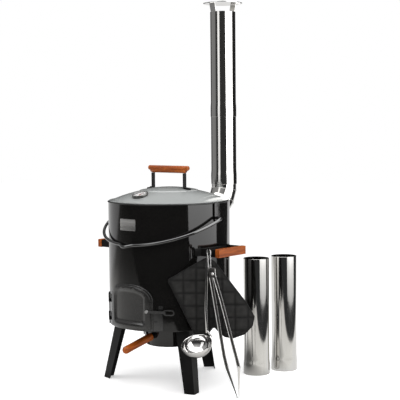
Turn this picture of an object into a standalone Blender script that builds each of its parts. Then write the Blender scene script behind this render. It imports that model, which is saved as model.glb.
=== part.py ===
"""Outdoor cauldron stove: enamelled fire drum on three legs, hanging pot with lid, flue and tools.

The stove's own axis is X = Y = 0 while it is modelled, with the floor at Z = 0, the fire door
toward -Y, the flue toward +Y and the carrying handles toward -X and +X. At the end the whole
stove is moved so that the bottom centre of its bounding box is the origin.
"""
import bmesh
import bpy
from math import acos, atan2, cos, pi, radians, sin, sqrt, tan
from mathutils import Matrix, Vector

# Clearances
SEAT_GAP = 0.0003
SLIDE_GAP = 0.0004
OVERRUN = 0.004

# Roundness, in sides per turn
DRUM_SIDES = 48
ROUND_SIDES = 32
SMALL_SIDES = 12

# Fire drum
BODY_RADIUS = 0.180
SHELL_WALL = 0.0016
PLATE_RADIUS = BODY_RADIUS + SEAT_GAP
BODY_BOTTOM = 0.1774
BODY_TOP = 0.5356
BASE_THICKNESS = 0.002
BASE_WIDTH = 0.115
ASH_HOLE_RADIUS = BODY_RADIUS - BASE_WIDTH
GRATE_RING_WIDTH = 0.025
GRATE_RING_HEIGHT = 0.0186
GRATE_RING_THICKNESS = 0.0015
GRATE_CLEARANCE = 0.014
GRATE_RADIUS = BODY_RADIUS - GRATE_CLEARANCE
GRATE_THICKNESS = 0.004
GRATE_SLOT_WIDTH = 0.008
GRATE_SLOT_PITCH = 0.021
GRATE_SLOTS_EACH_SIDE = 5
GRATE_SLOT_MARGIN = 0.020

# Fire door and its frame, set out from the drum's foot
PLATE_BEND_STEP = radians(5.2)
FRAME_HALF_WIDTH = 0.082
FRAME_FOOT = 0.0016
FRAME_BOTTOM = BODY_BOTTOM + FRAME_FOOT
FRAME_SIDE_HEIGHT = 0.083
FRAME_SPRING = FRAME_BOTTOM + FRAME_SIDE_HEIGHT
FRAME_HEIGHT = 0.131
FRAME_TOP = FRAME_BOTTOM + FRAME_HEIGHT
FRAME_THICKNESS = 0.003
FRAME_STILE = 0.017
DOOR_HOLE_HALF_WIDTH = FRAME_HALF_WIDTH - FRAME_STILE
FRAME_SILL = 0.014
DOOR_HOLE_BOTTOM = FRAME_BOTTOM + FRAME_SILL
DOOR_HOLE_SIDE_HEIGHT = 0.077
DOOR_HOLE_SPRING = DOOR_HOLE_BOTTOM + DOOR_HOLE_SIDE_HEIGHT
FRAME_HEAD = 0.0125
DOOR_HOLE_TOP = FRAME_TOP - FRAME_HEAD
FRAME_REVEAL = 0.0045
LEAF_HALF_WIDTH = FRAME_HALF_WIDTH - FRAME_REVEAL
LEAF_BOTTOM = FRAME_BOTTOM + FRAME_REVEAL
LEAF_TOP = FRAME_TOP - FRAME_REVEAL
LEAF_SPRING = FRAME_SPRING
LEAF_THICKNESS = 0.0025
LEAF_GAP = 0.0010
LEAF_RADIUS = PLATE_RADIUS + FRAME_THICKNESS + LEAF_GAP
FIELD_SIDE_BORDER = 0.0235
FIELD_HALF_WIDTH = LEAF_HALF_WIDTH - FIELD_SIDE_BORDER
FIELD_FOOT_BORDER = 0.020
FIELD_BOTTOM = LEAF_BOTTOM + FIELD_FOOT_BORDER
FIELD_HEAD_BORDER = 0.015
FIELD_SPRING = LEAF_SPRING + FIELD_HEAD_BORDER
FIELD_TOP = LEAF_TOP - FIELD_HEAD_BORDER
FIELD_DEPTH = 0.0040
FIELD_SLOPE = 0.0045
ARCH_CORNER = 0.006
ARCH_FULLNESS = 2.6
ARCH_STEPS = 12

# Door hinge
HINGE_MARGIN = 0.0222
HINGE_AZIMUTH = -(LEAF_HALF_WIDTH + HINGE_MARGIN) / LEAF_RADIUS
PIN_RADIUS = 0.0018
PIN_STAND_OFF = 0.0055
PIN_DROP = 0.0004
PIN_BOTTOM = LEAF_BOTTOM - PIN_DROP
PIN_LENGTH = 0.0928
PIN_TOP = PIN_BOTTOM + PIN_LENGTH
PIN_HEAD_RADIUS = 0.0036
PIN_HEAD_HEIGHT = 0.0022
EYE_RADIUS = 0.0035
EYE_HEIGHT = 0.0125
EYE_STRAP_THICKNESS = 0.0022
EYE_FOOT_HALF_WIDTH = 0.009
UPPER_EYES_RISE = 0.0629
UPPER_EYES_BOTTOM = LEAF_BOTTOM + UPPER_EYES_RISE
LOWER_EYES_RISE = 0.010
LOWER_EYES_BOTTOM = LEAF_BOTTOM + LOWER_EYES_RISE

# Door latch
LATCH_INSET = 0.0106
LATCH_AZIMUTH = (LEAF_HALF_WIDTH - LATCH_INSET) / LEAF_RADIUS
LATCH_RISE = 0.0525
LATCH_HEIGHT = LEAF_BOTTOM + LATCH_RISE
LATCH_BOLT_RADIUS = 0.0028
LATCH_HEAD_RADIUS = 0.0055
LATCH_HEAD_HEIGHT = 0.003
LATCH_HEAD_TOP_SHARE = 0.8
LEVER_LENGTH = 0.084
LEVER_WIDTH = 0.008
LEVER_THICKNESS = 0.003
LEVER_LOOP_LENGTH = 0.034
LEVER_LOOP_WIDTH = 0.0165
LEVER_LOOP_RIM = 0.0034
KEEPER_GAP = 0.00045
KEEPER_LEFT = (FRAME_HALF_WIDTH + KEEPER_GAP) / PLATE_RADIUS
KEEPER_PLATE_WIDTH = 0.0148
KEEPER_STRAP_LEFT = KEEPER_LEFT + KEEPER_PLATE_WIDTH / PLATE_RADIUS
KEEPER_STRAP_WIDTH = 0.0123
KEEPER_RIGHT = KEEPER_STRAP_LEFT + KEEPER_STRAP_WIDTH / PLATE_RADIUS
KEEPER_FOOT = 0.0020
KEEPER_BOTTOM = FRAME_BOTTOM + KEEPER_FOOT
KEEPER_PLATE_HEIGHT = 0.0535
KEEPER_PLATE_TOP = KEEPER_BOTTOM + KEEPER_PLATE_HEIGHT
KEEPER_HEIGHT = 0.0717
KEEPER_TOP = KEEPER_BOTTOM + KEEPER_HEIGHT
KEEPER_THICKNESS = 0.0025
KEEPER_SLOT_WIDTH = 0.008
KEEPER_SLOT_HEIGHT = 0.003
LEDGE_THICKNESS = 0.004

# Name plate, left bare
PLATE_HALF_WIDTH = 0.0295
PLATE_DROP = 0.0733
PLATE_BOTTOM = BODY_TOP - PLATE_DROP
PLATE_HEIGHT = 0.0332
PLATE_TOP = PLATE_BOTTOM + PLATE_HEIGHT
PLATE_THICKNESS = 0.001
PLATE_CORNER = 0.002

# Flue
FLUE_DROP = 0.0446
FLUE_HEIGHT = BODY_TOP - FLUE_DROP
PIPE_RADIUS = 0.0392
PIPE_WALL = 0.0008
SOCKET_DEPTH = 0.025
SOCKET_TAPER = 0.004
COLLAR_WALL = 0.0012
COLLAR_REACH = 0.0080
COLLAR_END = BODY_RADIUS + COLLAR_REACH
ELBOW_STAND_OFF = 0.0005
ELBOW_START = BODY_RADIUS + ELBOW_STAND_OFF
ELBOW_BEND_RADIUS = 0.0830
ELBOW_BENDS = 4
FLUE_HOLE_MARGIN = 0.0022
FLUE_HOLE_RADIUS = PIPE_RADIUS - FLUE_HOLE_MARGIN
LOWER_PIPE_LENGTH = 0.2360
LOWER_PIPE_TOP = FLUE_HEIGHT + ELBOW_BEND_RADIUS + LOWER_PIPE_LENGTH
UPPER_PIPE_LENGTH = 0.301
UPPER_PIPE_TOP = LOWER_PIPE_TOP + UPPER_PIPE_LENGTH
CAP_RADIUS = 0.061
CAP_STAND_OFF = 0.0262
CAP_RIM_HEIGHT = UPPER_PIPE_TOP + CAP_STAND_OFF
CAP_RISE = 0.008
CAP_SHEET = 0.0008
CAP_STRAP_WIDTH = 0.030
CAP_STRAP_THICKNESS = 0.001
CAP_STRAP_DROP = 0.026
CAP_STRAP_LEAN = 0.005
CAP_TAB_MARGIN = 0.006
CAP_STRAP_AZIMUTH = radians(-19)
SPARE_PIPE_LENGTH = 0.3548
SPARE_PIPE_SHARES = ((0.8794, 1.2156), (1.0744, 1.7494))
SPARE_PIPE_PLACES = tuple((side * BODY_RADIUS, back * BODY_RADIUS)
                          for side, back in SPARE_PIPE_SHARES)

# Legs
LEG_AZIMUTHS = (radians(-60), radians(60), radians(180))
LEG_TOP_INSET = 0.013
LEG_TOP_RADIUS = BODY_RADIUS - LEG_TOP_INSET
LEG_SPLAY = 0.0395
LEG_FOOT_RADIUS = LEG_TOP_RADIUS + LEG_SPLAY
LEG_TOP_WIDTH = 0.0430
LEG_FOOT_WIDTH = 0.0320
LEG_THICKNESS = 0.0025
LEG_TAB_DEPTH = 0.022
LEG_BOLT_RADIUS = 0.003
LEG_BOLT_INSET = 0.0135
LEG_BOLT_HEAD_RADIUS = 0.0058
LEG_BOLT_HEAD_HEIGHT = 0.004

# Ash pan and its rails
PAN_OVERLAP = 0.020
PAN_FLANGE_RADIUS = ASH_HOLE_RADIUS + PAN_OVERLAP
PAN_FLANGE = 0.0045
PAN_TOP_RADIUS = PAN_FLANGE_RADIUS - PAN_FLANGE
PAN_TAPER = 0.006
PAN_BOTTOM_RADIUS = PAN_TOP_RADIUS - PAN_TAPER
PAN_HEAD_GAP = 0.0052
PAN_TOP = BODY_BOTTOM - PAN_HEAD_GAP
PAN_DEPTH = 0.0607
PAN_BOTTOM = PAN_TOP - PAN_DEPTH
PAN_WALL = 0.0015
PAN_BOSS_RADIUS = 0.0095
PAN_BOSS_LENGTH = 0.009
PAN_HANDLE_RADIUS = 0.011
PAN_HANDLE_LENGTH = 0.1185
PAN_HANDLE_DROP = 0.0291
PAN_HANDLE_HEIGHT = PAN_TOP - PAN_HANDLE_DROP
PAN_HANDLE_SLOPE = radians(11.9)
RAIL_GAP = 0.0007
RAIL_THICKNESS = 0.0018
RAIL_LIP = 0.0032
RAIL_FLANGE = 0.012
RAIL_DROP = 0.0422
RAIL_BOTTOM = PAN_TOP - RAIL_DROP
RAIL_FRONT_SETBACK = 0.061
RAIL_FRONT = RAIL_FRONT_SETBACK - PAN_FLANGE_RADIUS
RAIL_BACK_SETBACK = 0.025
RAIL_BACK = PAN_FLANGE_RADIUS - RAIL_BACK_SETBACK

# Carrying handles
BRACKET_DROP = 0.1456
BRACKET_BOTTOM = BODY_TOP - BRACKET_DROP
BRACKET_HEIGHT = 0.022
BRACKET_TOP = BRACKET_BOTTOM + BRACKET_HEIGHT
BRACKET_THICKNESS = 0.0025
BRACKET_FOOT_LENGTH = 0.0802
BRACKET_FOOT_ANGLE = BRACKET_FOOT_LENGTH / PLATE_RADIUS
BRACKET_ARM_ANGLE = radians(18.93)
BRACKET_ARM_HALF_GAP = PLATE_RADIUS * sin(BRACKET_ARM_ANGLE)
BRACKET_STAND_OFF = 0.0435
BRACKET_REACH = BODY_RADIUS + BRACKET_STAND_OFF
BRACKET_TAB = 0.018
GRIP_OVERHANG = 0.0028
GRIP_HALF_LENGTH = BRACKET_ARM_HALF_GAP + GRIP_OVERHANG
GRIP_THICKNESS = 0.0152
GRIP_HEIGHT = 0.024

# Pot
POT_CLEARANCE = 0.014
POT_RADIUS = BODY_RADIUS - POT_CLEARANCE
POT_WALL = 0.0016
POT_DROP = 0.2266
POT_BOTTOM = BODY_TOP - POT_DROP
POT_CORNER = 0.014
RIM_OVERHANG = 0.0021
RIM_RADIUS = BODY_RADIUS + RIM_OVERHANG
RIM_THICKNESS = 0.003
EAR_HALF_WIDTH = 0.012
EAR_THICKNESS = 0.002
EAR_HOLE_RADIUS = 0.0052
BAIL_PIVOT_DROP = 0.0409
BAIL_PIVOT_HEIGHT = BODY_TOP - BAIL_PIVOT_DROP
BAIL_CLEARANCE = 0.020
BAIL_RADIUS = BODY_RADIUS + BAIL_CLEARANCE
BAIL_WIRE = 0.0045
BAIL_NOTCH = 0.012
BAIL_NOTCH_ANGLE = radians(8)
BAIL_CORNER = 0.010

# Lid
LID_INSET = 0.0046
LID_RADIUS = RIM_RADIUS - LID_INSET
LID_BRIM = 0.0055
LID_DOME_RADIUS = LID_RADIUS - LID_BRIM
LID_RISE = 0.036
LID_SHEET = 0.0013
LID_EDGE = 0.0018
LID_STEP_INSET = 0.086
LID_STEP_RADIUS = LID_DOME_RADIUS - LID_STEP_INSET
LID_STEP_WIDTH = 0.004
LID_STEP_RISE = 0.002
POST_INSET = 0.0243
POST_PLACE = LID_STEP_RADIUS - POST_INSET
POST_WIDTH = 0.013
POST_THICKNESS = 0.003
POST_FOOT = 0.020
POST_RISE = 0.0839
POST_TOP = BODY_TOP + POST_RISE
LID_GRIP_RADIUS = 0.0108
LID_GRIP_END_RADIUS = 0.0070
LID_GRIP_OVERHANG = 0.0160
LID_GRIP_HALF_LENGTH = POST_PLACE + LID_GRIP_OVERHANG
LID_GRIP_CORNER = 0.002
LID_GRIP_SHOULDER = 0.004

# Thermometer in the lid
GAUGE_INSET = 0.048
GAUGE_PLACE = LID_DOME_RADIUS - GAUGE_INSET
GAUGE_RADIUS = 0.0235
GAUGE_HEIGHT = 0.008
GAUGE_RIM = 0.0020
GAUGE_FLOOR = 0.0022
STEM_RADIUS = 0.003
STEM_LENGTH = 0.055
DIAL_THICKNESS = 0.0005
DIAL_HOLE_RADIUS = 0.0012
NEEDLE_LENGTH = 0.0155
NEEDLE_TAIL = 0.005
NEEDLE_WIDTH = 0.0016
NEEDLE_THICKNESS = 0.0006
NEEDLE_HUB_RADIUS = 0.002
GLASS_THICKNESS = 0.001
GLASS_DROP = 0.0008

# Tools: everything hangs in layers on one hook that points along this azimuth
TOOL_AZIMUTH = radians(39)
HOOK_INSET = 0.019
HOOK_PLACE = BRACKET_REACH - HOOK_INSET
HOOK_RADIUS = 0.0030
HOOK_FOOT_RISE = 0.0045
HOOK_FOOT_HEIGHT = BRACKET_BOTTOM + HOOK_FOOT_RISE
HOOK_ROOT = 0.0055
HOOK_LENGTH = 0.058
HOOK_END = BODY_RADIUS + HOOK_LENGTH
HOOK_CLIMB = 0.021
HOOK_END_HEIGHT = HOOK_FOOT_HEIGHT + HOOK_CLIMB
HOOK_TIP = 0.0090
HANG_GAP = 0.0008

# Oven mitts: outlines as shares of their span, along and up from the hook
MITT_SPAN = 0.240
MITT_LEFT_SHARES = ((-0.02, -0.03), (-0.48, -0.295), (-0.342, -0.578), (-0.173, -0.932),
                    (-0.13, -0.955), (-0.05, -0.965), (0.03, -0.87), (0.12, -0.70),
                    (0.17, -0.50))
MITT_RIGHT_SHARES = ((0.0, -0.05), (0.068, -0.10), (0.43, -0.58), (0.522, -0.742),
                     (0.50, -0.85), (0.41, -0.945), (0.276, -0.992), (0.18, -0.975),
                     (0.114, -0.921), (0.055, -0.85), (0.045, -0.50))
MITT_CORNER = 0.008
MITT_THICKNESS = 0.0125
MITT_EDGE_THICKNESS = 0.0050
MITT_ROLL = 0.016
MITT_STAND_OFF = 0.0090
MITT_LEFT_LAYER = BODY_RADIUS + MITT_STAND_OFF
MITT_LAYER_STEP = 0.0150
MITT_RIGHT_LAYER = MITT_LEFT_LAYER + MITT_LAYER_STEP
MITT_LOOP_RADIUS = 0.0056
MITT_LOOP_WIRE = 0.0018
MITT_LOOP_DROP = 0.018
QUILT_PITCH = 0.036
QUILT_DEPTH = 0.0016

# Ladle: its handle's bends as shares of the handle's length, along and down from the hook
LADLE_LAYER_STEP = 0.0165
LADLE_LAYER = MITT_RIGHT_LAYER + LADLE_LAYER_STEP
LADLE_HANDLE_LENGTH = 0.226
LADLE_BEND_SHARES = ((0, 0), (-0.018, 0.10), (-0.040, 0.70), (-0.028, 1))
LADLE_STRIP_WIDTH = 0.0070
LADLE_STRIP_THICKNESS = 0.0022
LADLE_EYE_RADIUS = 0.0080
LADLE_NECK_RADIUS = 0.0024
LADLE_NECK_REACH = 0.007
LADLE_NECK_DROP = 0.003
LADLE_BOWL_RADIUS = 0.0430
LADLE_BOWL_DEPTH = 0.038
LADLE_BOWL_WALL = 0.0012
LADLE_BOWL_TURN = radians(-24.8)
LADLE_BOWL_TILT = radians(24.9)
LADLE_ATTACH_ANGLE = radians(33)
LADLE_RIM_ALONG = 0.0057
LADLE_RIM_DROP = 0.0113

# Tongs: arms as shares of the tongs' length, along and up from the hook
TONGS_LAYER_STEP = 0.0080
TONGS_LAYER = LADLE_LAYER + TONGS_LAYER_STEP
TONGS_LENGTH = 0.420
TONGS_LEFT_SHARES = ((0.012, -0.171), (0.0364, -0.322), (0.095, -0.691), (0.114, -0.776))
TONGS_RIGHT_SHARES = ((0.0376, -0.171), (0.080, -0.323), (0.172, -0.691), (0.193, -0.776))
TONGS_TIP_SHARES = (0.188, -0.9775)
TONGS_RIVET_SHARES = (0.0245, -0.148)
TONGS_WIDTH = 0.0095
TONGS_DEPTH = 0.0080
TONGS_SHEET = 0.0010
TONGS_CLAW_WIDTH = 0.0080
TONGS_CLAW_TIP = 0.0016
TONGS_CLAW_SPREAD = 0.0022
TONGS_EYE_RADIUS = 0.0078
TONGS_RIVET_RADIUS = 0.0030
TONGS_RIVET_HEAD_RADIUS = 0.0048
TONGS_RIVET_HEAD = 0.0012
TONGS_WIRE = 0.0011


# General shapes

def circle(radius, sides, start=0.0):
    """Points of a circle as (side, up) pairs."""
    return [(radius * cos(start + 2 * pi * k / sides), radius * sin(start + 2 * pi * k / sides))
            for k in range(sides)]


def arc(centre, radius, first, last, steps):
    """Points of an arc between two angles, both ends included."""
    return [(centre[0] + radius * cos(first + (last - first) * k / steps),
             centre[1] + radius * sin(first + (last - first) * k / steps))
            for k in range(steps + 1)]


def rectangle(width, height):
    return [(-width / 2, -height / 2), (width / 2, -height / 2),
            (width / 2, height / 2), (-width / 2, height / 2)]


def stadium(first, last, radius, steps):
    """A long round-ended outline between two end centres on the horizontal axis."""
    return (arc((last, 0), radius, -pi / 2, pi / 2, steps)
            + arc((first, 0), radius, pi / 2, 3 * pi / 2, steps))


def rounded(points, radius, steps=3):
    """Round every corner of an outline with an arc of the given radius."""
    outline = []
    count = len(points)
    for index, point in enumerate(points):
        corner = Vector(point)
        before = (Vector(points[index - 1]) - corner)
        after = (Vector(points[(index + 1) % count]) - corner)
        half_turn = before.angle(after) / 2
        reach = min(radius / tan(half_turn), before.length / 2, after.length / 2)
        inner = corner + (before.normalized() + after.normalized()).normalized() * (
            reach / cos(half_turn))
        start = corner + before.normalized() * reach - inner
        end = corner + after.normalized() * reach - inner
        turn = start.angle_signed(end)
        for k in range(steps + 1):
            outline.append(inner + Matrix.Rotation(-turn * k / steps, 2) @ start)
    return outline


def arch(half_width, bottom, spring, top, margin=0.0):
    """An arched door outline with a flat foot, as (side, height) pairs; margin grows it evenly."""
    wide = half_width + margin
    low = bottom - margin
    rise = top + margin - spring
    corner = ARCH_CORNER
    outline = arc((-wide + corner, low + corner), corner, -pi, -pi / 2, 3)
    outline += arc((wide - corner, low + corner), corner, -pi / 2, 0, 3)
    for k in range(ARCH_STEPS + 1):
        angle = pi * k / ARCH_STEPS
        side = cos(angle)
        outline.append((wide * side, spring + rise * sqrt(1 - abs(side) ** ARCH_FULLNESS)))
    return outline


def ring_solid(rings, closed=False):
    """Bridge rings of equal length; the ends are capped, or joined to each other if closed."""
    mesh = bmesh.new()
    loops = [[mesh.verts.new(point) for point in ring] for ring in rings]
    pairs = list(zip(loops, loops[1:]))
    if closed:
        pairs.append((loops[-1], loops[0]))
    else:
        mesh.faces.new(loops[0])
        mesh.faces.new(loops[-1])
    for near, far in pairs:
        for index in range(len(near)):
            after = (index + 1) % len(near)
            mesh.faces.new((near[index], near[after], far[after], far[index]))
    bmesh.ops.recalc_face_normals(mesh, faces=mesh.faces)
    return mesh


def block(outline, low, high, axis="Z"):
    """An outline in (side, up) pairs, extruded between two depths along an axis."""
    lay = {"X": lambda a, b, depth: (depth, a, b),
           "Y": lambda a, b, depth: (a, depth, b),
           "Z": lambda a, b, depth: (a, b, depth)}[axis]
    return ring_solid([[lay(a, b, depth) for a, b in outline] for depth in (low, high)])


def swept_rings(path, section, binormal):
    """Rings of a section, in (side, up) pairs, along a flat path with mitred corners."""
    across = Vector(binormal).normalized()
    points = [Vector(point) for point in path]
    runs = [(b - a).normalized() for a, b in zip(points, points[1:])]
    rings = []
    for index, point in enumerate(points):
        before = runs[max(index - 1, 0)]
        after = runs[min(index, len(runs) - 1)]
        ahead = (before + after).normalized()
        side = across.cross(ahead)
        stretch = 1 / ahead.dot(after)
        rings.append([point + side * (a * stretch) + across * b for a, b in section])
    return rings


def swept(path, section, binormal):
    return ring_solid(swept_rings(path, section, binormal))


def rod(path, radius, binormal, sides=SMALL_SIDES):
    return swept(path, circle(radius, sides), binormal)


def pipe(path, radius, wall, binormal, sides=ROUND_SIDES):
    """A hollow round pipe along a flat path."""
    outer = swept_rings(path, circle(radius, sides), binormal)
    inner = swept_rings(path, circle(radius - wall, sides), binormal)
    return ring_solid(outer + inner[::-1], closed=True)


def turned(profile, sides):
    """Turn a profile of (radius, height) points; one that starts on the axis also ends there."""
    mesh = bmesh.new()
    verts = [mesh.verts.new((radius, 0, height)) for radius, height in profile]
    edges = [mesh.edges.new(pair) for pair in zip(verts, verts[1:])]
    if profile[0][0] > 0:
        edges.append(mesh.edges.new((verts[-1], verts[0])))
    bmesh.ops.spin(mesh, geom=verts + edges, cent=(0, 0, 0), axis=(0, 0, 1), angle=2 * pi,
                   steps=sides, use_merge=True, use_duplicate=False)
    bmesh.ops.remove_doubles(mesh, verts=mesh.verts, dist=SEAT_GAP / 100)
    bmesh.ops.recalc_face_normals(mesh, faces=mesh.faces)
    return mesh


def tube(outer, inner, low, high, sides):
    return turned([(outer, low), (outer, high), (inner, high), (inner, low)], sides)


def disc(radius, low, high, sides):
    return block(circle(radius, sides), low, high)


def wrap(mesh, radius):
    """Bend a plate drawn flat, as (arc length, depth, height), round the stove's axis.

    Depth 0 comes to the radius on the -Y side, and greater depth goes outward.
    """
    step = PLATE_BEND_STEP * radius
    reach = max(abs(vert.co.x) for vert in mesh.verts)
    for index in range(-int(reach / step), int(reach / step) + 1):
        bmesh.ops.bisect_plane(mesh, geom=mesh.verts[:] + mesh.edges[:] + mesh.faces[:],
                               dist=SEAT_GAP / 100, plane_co=(index * step, 0, 0),
                               plane_no=(1, 0, 0))
    bmesh.ops.triangulate(mesh, faces=mesh.faces)
    for vert in mesh.verts:
        angle = vert.co.x / radius
        distance = radius + vert.co.y
        vert.co = (distance * sin(angle), -distance * cos(angle), vert.co.z)
    bmesh.ops.recalc_face_normals(mesh, faces=mesh.faces)
    return mesh


def wrapped_plate(outline, thickness, radius):
    return wrap(block(outline, 0, thickness, "Y"), radius)


# Places

def turn_z(angle):
    return Matrix.Rotation(angle, 4, "Z")


def shift(x, y, z):
    return Matrix.Translation((x, y, z))


def facing(azimuth, radius, height):
    """A frame whose +Z points outward from the stove's side at an azimuth, with +Y up."""
    return turn_z(azimuth) @ shift(0, -radius, height) @ Matrix.Rotation(pi / 2, 4, "X")


def side_place(azimuth, radius, height):
    """A point of the stove's side in the stove's coordinates."""
    return Vector((radius * sin(azimuth), -radius * cos(azimuth), height))


TOOL_TURN = turn_z(TOOL_AZIMUTH)


def tool_place(along, outward, height):
    """A point of the tools' layers in the stove's coordinates."""
    return TOOL_TURN @ Vector((along, -outward, height))


# Objects

def make_material(name, color, roughness, metallic):
    look = bpy.data.materials.new(name)
    look.use_nodes = True
    shader = look.node_tree.nodes["Principled BSDF"]
    shader.inputs["Base Color"].default_value = (*color, 1)
    shader.inputs["Roughness"].default_value = roughness
    shader.inputs["Metallic"].default_value = metallic
    look.diffuse_color = (*color, 1)
    return look


def joint_empty(name, place, parent):
    """An empty on a joint's axis, which carries the moving pieces."""
    empty = bpy.data.objects.new(name, None)
    bpy.context.collection.objects.link(empty)
    empty.location = place
    if parent:
        empty.parent = parent
        empty.matrix_parent_inverse = Matrix.Translation(parent.location).inverted()
    return empty


def add(name, mesh, look, parent, place=Matrix.Identity(4)):
    """Make a named object of a bmesh, placed in the stove's coordinates under its parent."""
    if mesh.calc_volume(signed=True) < 0:
        bmesh.ops.reverse_faces(mesh, faces=mesh.faces)
    data = bpy.data.meshes.new(name)
    mesh.to_mesh(data)
    mesh.free()
    data.shade_smooth()
    data.set_sharp_from_angle(angle=radians(32))
    piece = bpy.data.objects.new(name, data)
    bpy.context.collection.objects.link(piece)
    if look:
        data.materials.append(look)
    piece.parent = parent
    piece.matrix_parent_inverse = Matrix.Translation(parent.location).inverted()
    piece.matrix_basis = place
    return piece


def combine(piece, operation, mesh, place=Matrix.Identity(4)):
    """Cut a shape from a piece, or fuse it on; the helper object stays out of the model."""
    helper = add(f"{piece.name}_{operation.lower()}_{len(piece.modifiers) + 1}", mesh, None,
                 piece.parent, place)
    helper.hide_render = True
    helper.display_type = "WIRE"
    modifier = piece.modifiers.new(operation.lower(), "BOOLEAN")
    modifier.operation = operation
    modifier.solver = "EXACT"
    modifier.object = helper


def cut(piece, mesh, place=Matrix.Identity(4)):
    combine(piece, "DIFFERENCE", mesh, place)


def fuse(piece, mesh, place=Matrix.Identity(4)):
    combine(piece, "UNION", mesh, place)


for old_object in list(bpy.data.objects):
    bpy.data.objects.remove(old_object, do_unlink=True)

ENAMEL = make_material("black_enamel", (0.012, 0.011, 0.011), 0.16, 0.0)
BLACK_STEEL = make_material("black_painted_steel", (0.016, 0.016, 0.017), 0.42, 0.0)
GREY_ENAMEL = make_material("grey_enamel", (0.30, 0.31, 0.33), 0.20, 0.0)
STAINLESS = make_material("polished_stainless", (0.62, 0.61, 0.60), 0.16, 1.0)
BRIGHT_STEEL = make_material("bright_steel", (0.55, 0.55, 0.56), 0.24, 1.0)
CAST_IRON = make_material("cast_iron", (0.05, 0.05, 0.052), 0.65, 0.6)
WOOD = make_material("red_brown_wood", (0.36, 0.10, 0.035), 0.42, 0.0)
DIAL_WHITE = make_material("white_dial", (0.85, 0.85, 0.83), 0.5, 0.0)
NEEDLE_RED = make_material("red_needle", (0.55, 0.03, 0.02), 0.4, 0.0)
CLEAR_GLASS = make_material("clear_glass", (0.9, 0.92, 0.93), 0.03, 0.0)
QUILT_CLOTH = make_material("black_quilted_cloth", (0.022, 0.022, 0.024), 0.9, 0.0)

STOVE = joint_empty("stove", (0, 0, 0), None)


# Fire drum with its base, grate, frame and name plate

SHELL_BORE = BODY_RADIUS - SHELL_WALL
BASE_TOP = BODY_BOTTOM + BASE_THICKNESS
RING_TOP = BODY_BOTTOM + GRATE_RING_HEIGHT + GRATE_RING_THICKNESS
GRATE_BOTTOM = RING_TOP + SEAT_GAP
DOOR_HOLE = (DOOR_HOLE_HALF_WIDTH, DOOR_HOLE_BOTTOM, DOOR_HOLE_SPRING, DOOR_HOLE_TOP)


def make_drum():
    shell = add("stove_shell", tube(BODY_RADIUS, SHELL_BORE, BODY_BOTTOM, BODY_TOP, DRUM_SIDES),
                ENAMEL, STOVE)
    cut(shell, block(arch(*DOOR_HOLE), -BODY_RADIUS - OVERRUN, -BODY_RADIUS / 2, "Y"))
    cut(shell, disc(FLUE_HOLE_RADIUS, BODY_RADIUS / 2, BODY_RADIUS + OVERRUN, ROUND_SIDES),
        facing(pi, 0, FLUE_HEIGHT))
    base = add("base_plate", tube(SHELL_BORE - SEAT_GAP, ASH_HOLE_RADIUS, BODY_BOTTOM, BASE_TOP,
                                  DRUM_SIDES), ENAMEL, STOVE)
    for azimuth in LEG_AZIMUTHS:
        cut(base, disc(LEG_BOLT_RADIUS + SLIDE_GAP, BODY_BOTTOM - OVERRUN, BASE_TOP + OVERRUN,
                       SMALL_SIDES), turn_z(azimuth) @ shift(0, -LEG_BOLT_PLACE, 0))
    add("grate_ring", tube(SHELL_BORE - SEAT_GAP, SHELL_BORE - GRATE_RING_WIDTH,
                           RING_TOP - GRATE_RING_THICKNESS, RING_TOP, DRUM_SIDES),
        BLACK_STEEL, STOVE)


def make_grate():
    """A round cast grate with parallel slots, shorter toward its sides."""
    grate = add("fire_grate", disc(GRATE_RADIUS, GRATE_BOTTOM, GRATE_BOTTOM + GRATE_THICKNESS,
                                   ROUND_SIDES), CAST_IRON, STOVE)
    for index in range(-GRATE_SLOTS_EACH_SIDE, GRATE_SLOTS_EACH_SIDE + 1):
        side = index * GRATE_SLOT_PITCH
        half = sqrt((GRATE_RADIUS - GRATE_SLOT_MARGIN) ** 2 - side ** 2)
        slot = block(rectangle(GRATE_SLOT_WIDTH, 2 * half), GRATE_BOTTOM - OVERRUN,
                     GRATE_BOTTOM + GRATE_THICKNESS + OVERRUN)
        cut(grate, slot, shift(side, 0, 0))


def make_door_frame():
    outer = arch(FRAME_HALF_WIDTH, FRAME_BOTTOM, FRAME_SPRING, FRAME_TOP)
    inner = arch(*DOOR_HOLE)
    rings = [[(side, depth, height) for side, height in outline]
             for outline, depth in ((outer, 0), (outer, FRAME_THICKNESS),
                                    (inner, FRAME_THICKNESS), (inner, 0))]
    add("door_frame", wrap(ring_solid(rings, closed=True), PLATE_RADIUS), BLACK_STEEL, STOVE)


def make_name_plate():
    outline = rounded([(-PLATE_HALF_WIDTH, PLATE_BOTTOM), (PLATE_HALF_WIDTH, PLATE_BOTTOM),
                       (PLATE_HALF_WIDTH, PLATE_TOP), (-PLATE_HALF_WIDTH, PLATE_TOP)],
                      PLATE_CORNER)
    add("name_plate", wrapped_plate(outline, PLATE_THICKNESS, PLATE_RADIUS), BRIGHT_STEEL, STOVE)


# Fire door, its hinge and its latch

HINGE_RADIUS = BODY_RADIUS + PIN_STAND_OFF
HINGE_PLACE = side_place(HINGE_AZIMUTH, HINGE_RADIUS, 0)
LEVER_BACK = LEAF_RADIUS + LEAF_THICKNESS + 2 * SEAT_GAP
LEVER_FRONT = LEVER_BACK + LEVER_THICKNESS
LATCH_PLACE = side_place(LATCH_AZIMUTH, LEVER_BACK, LATCH_HEIGHT)
DOOR = joint_empty("door_hinge", HINGE_PLACE, STOVE)
LATCH = joint_empty("latch_pivot", LATCH_PLACE, DOOR)


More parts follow.
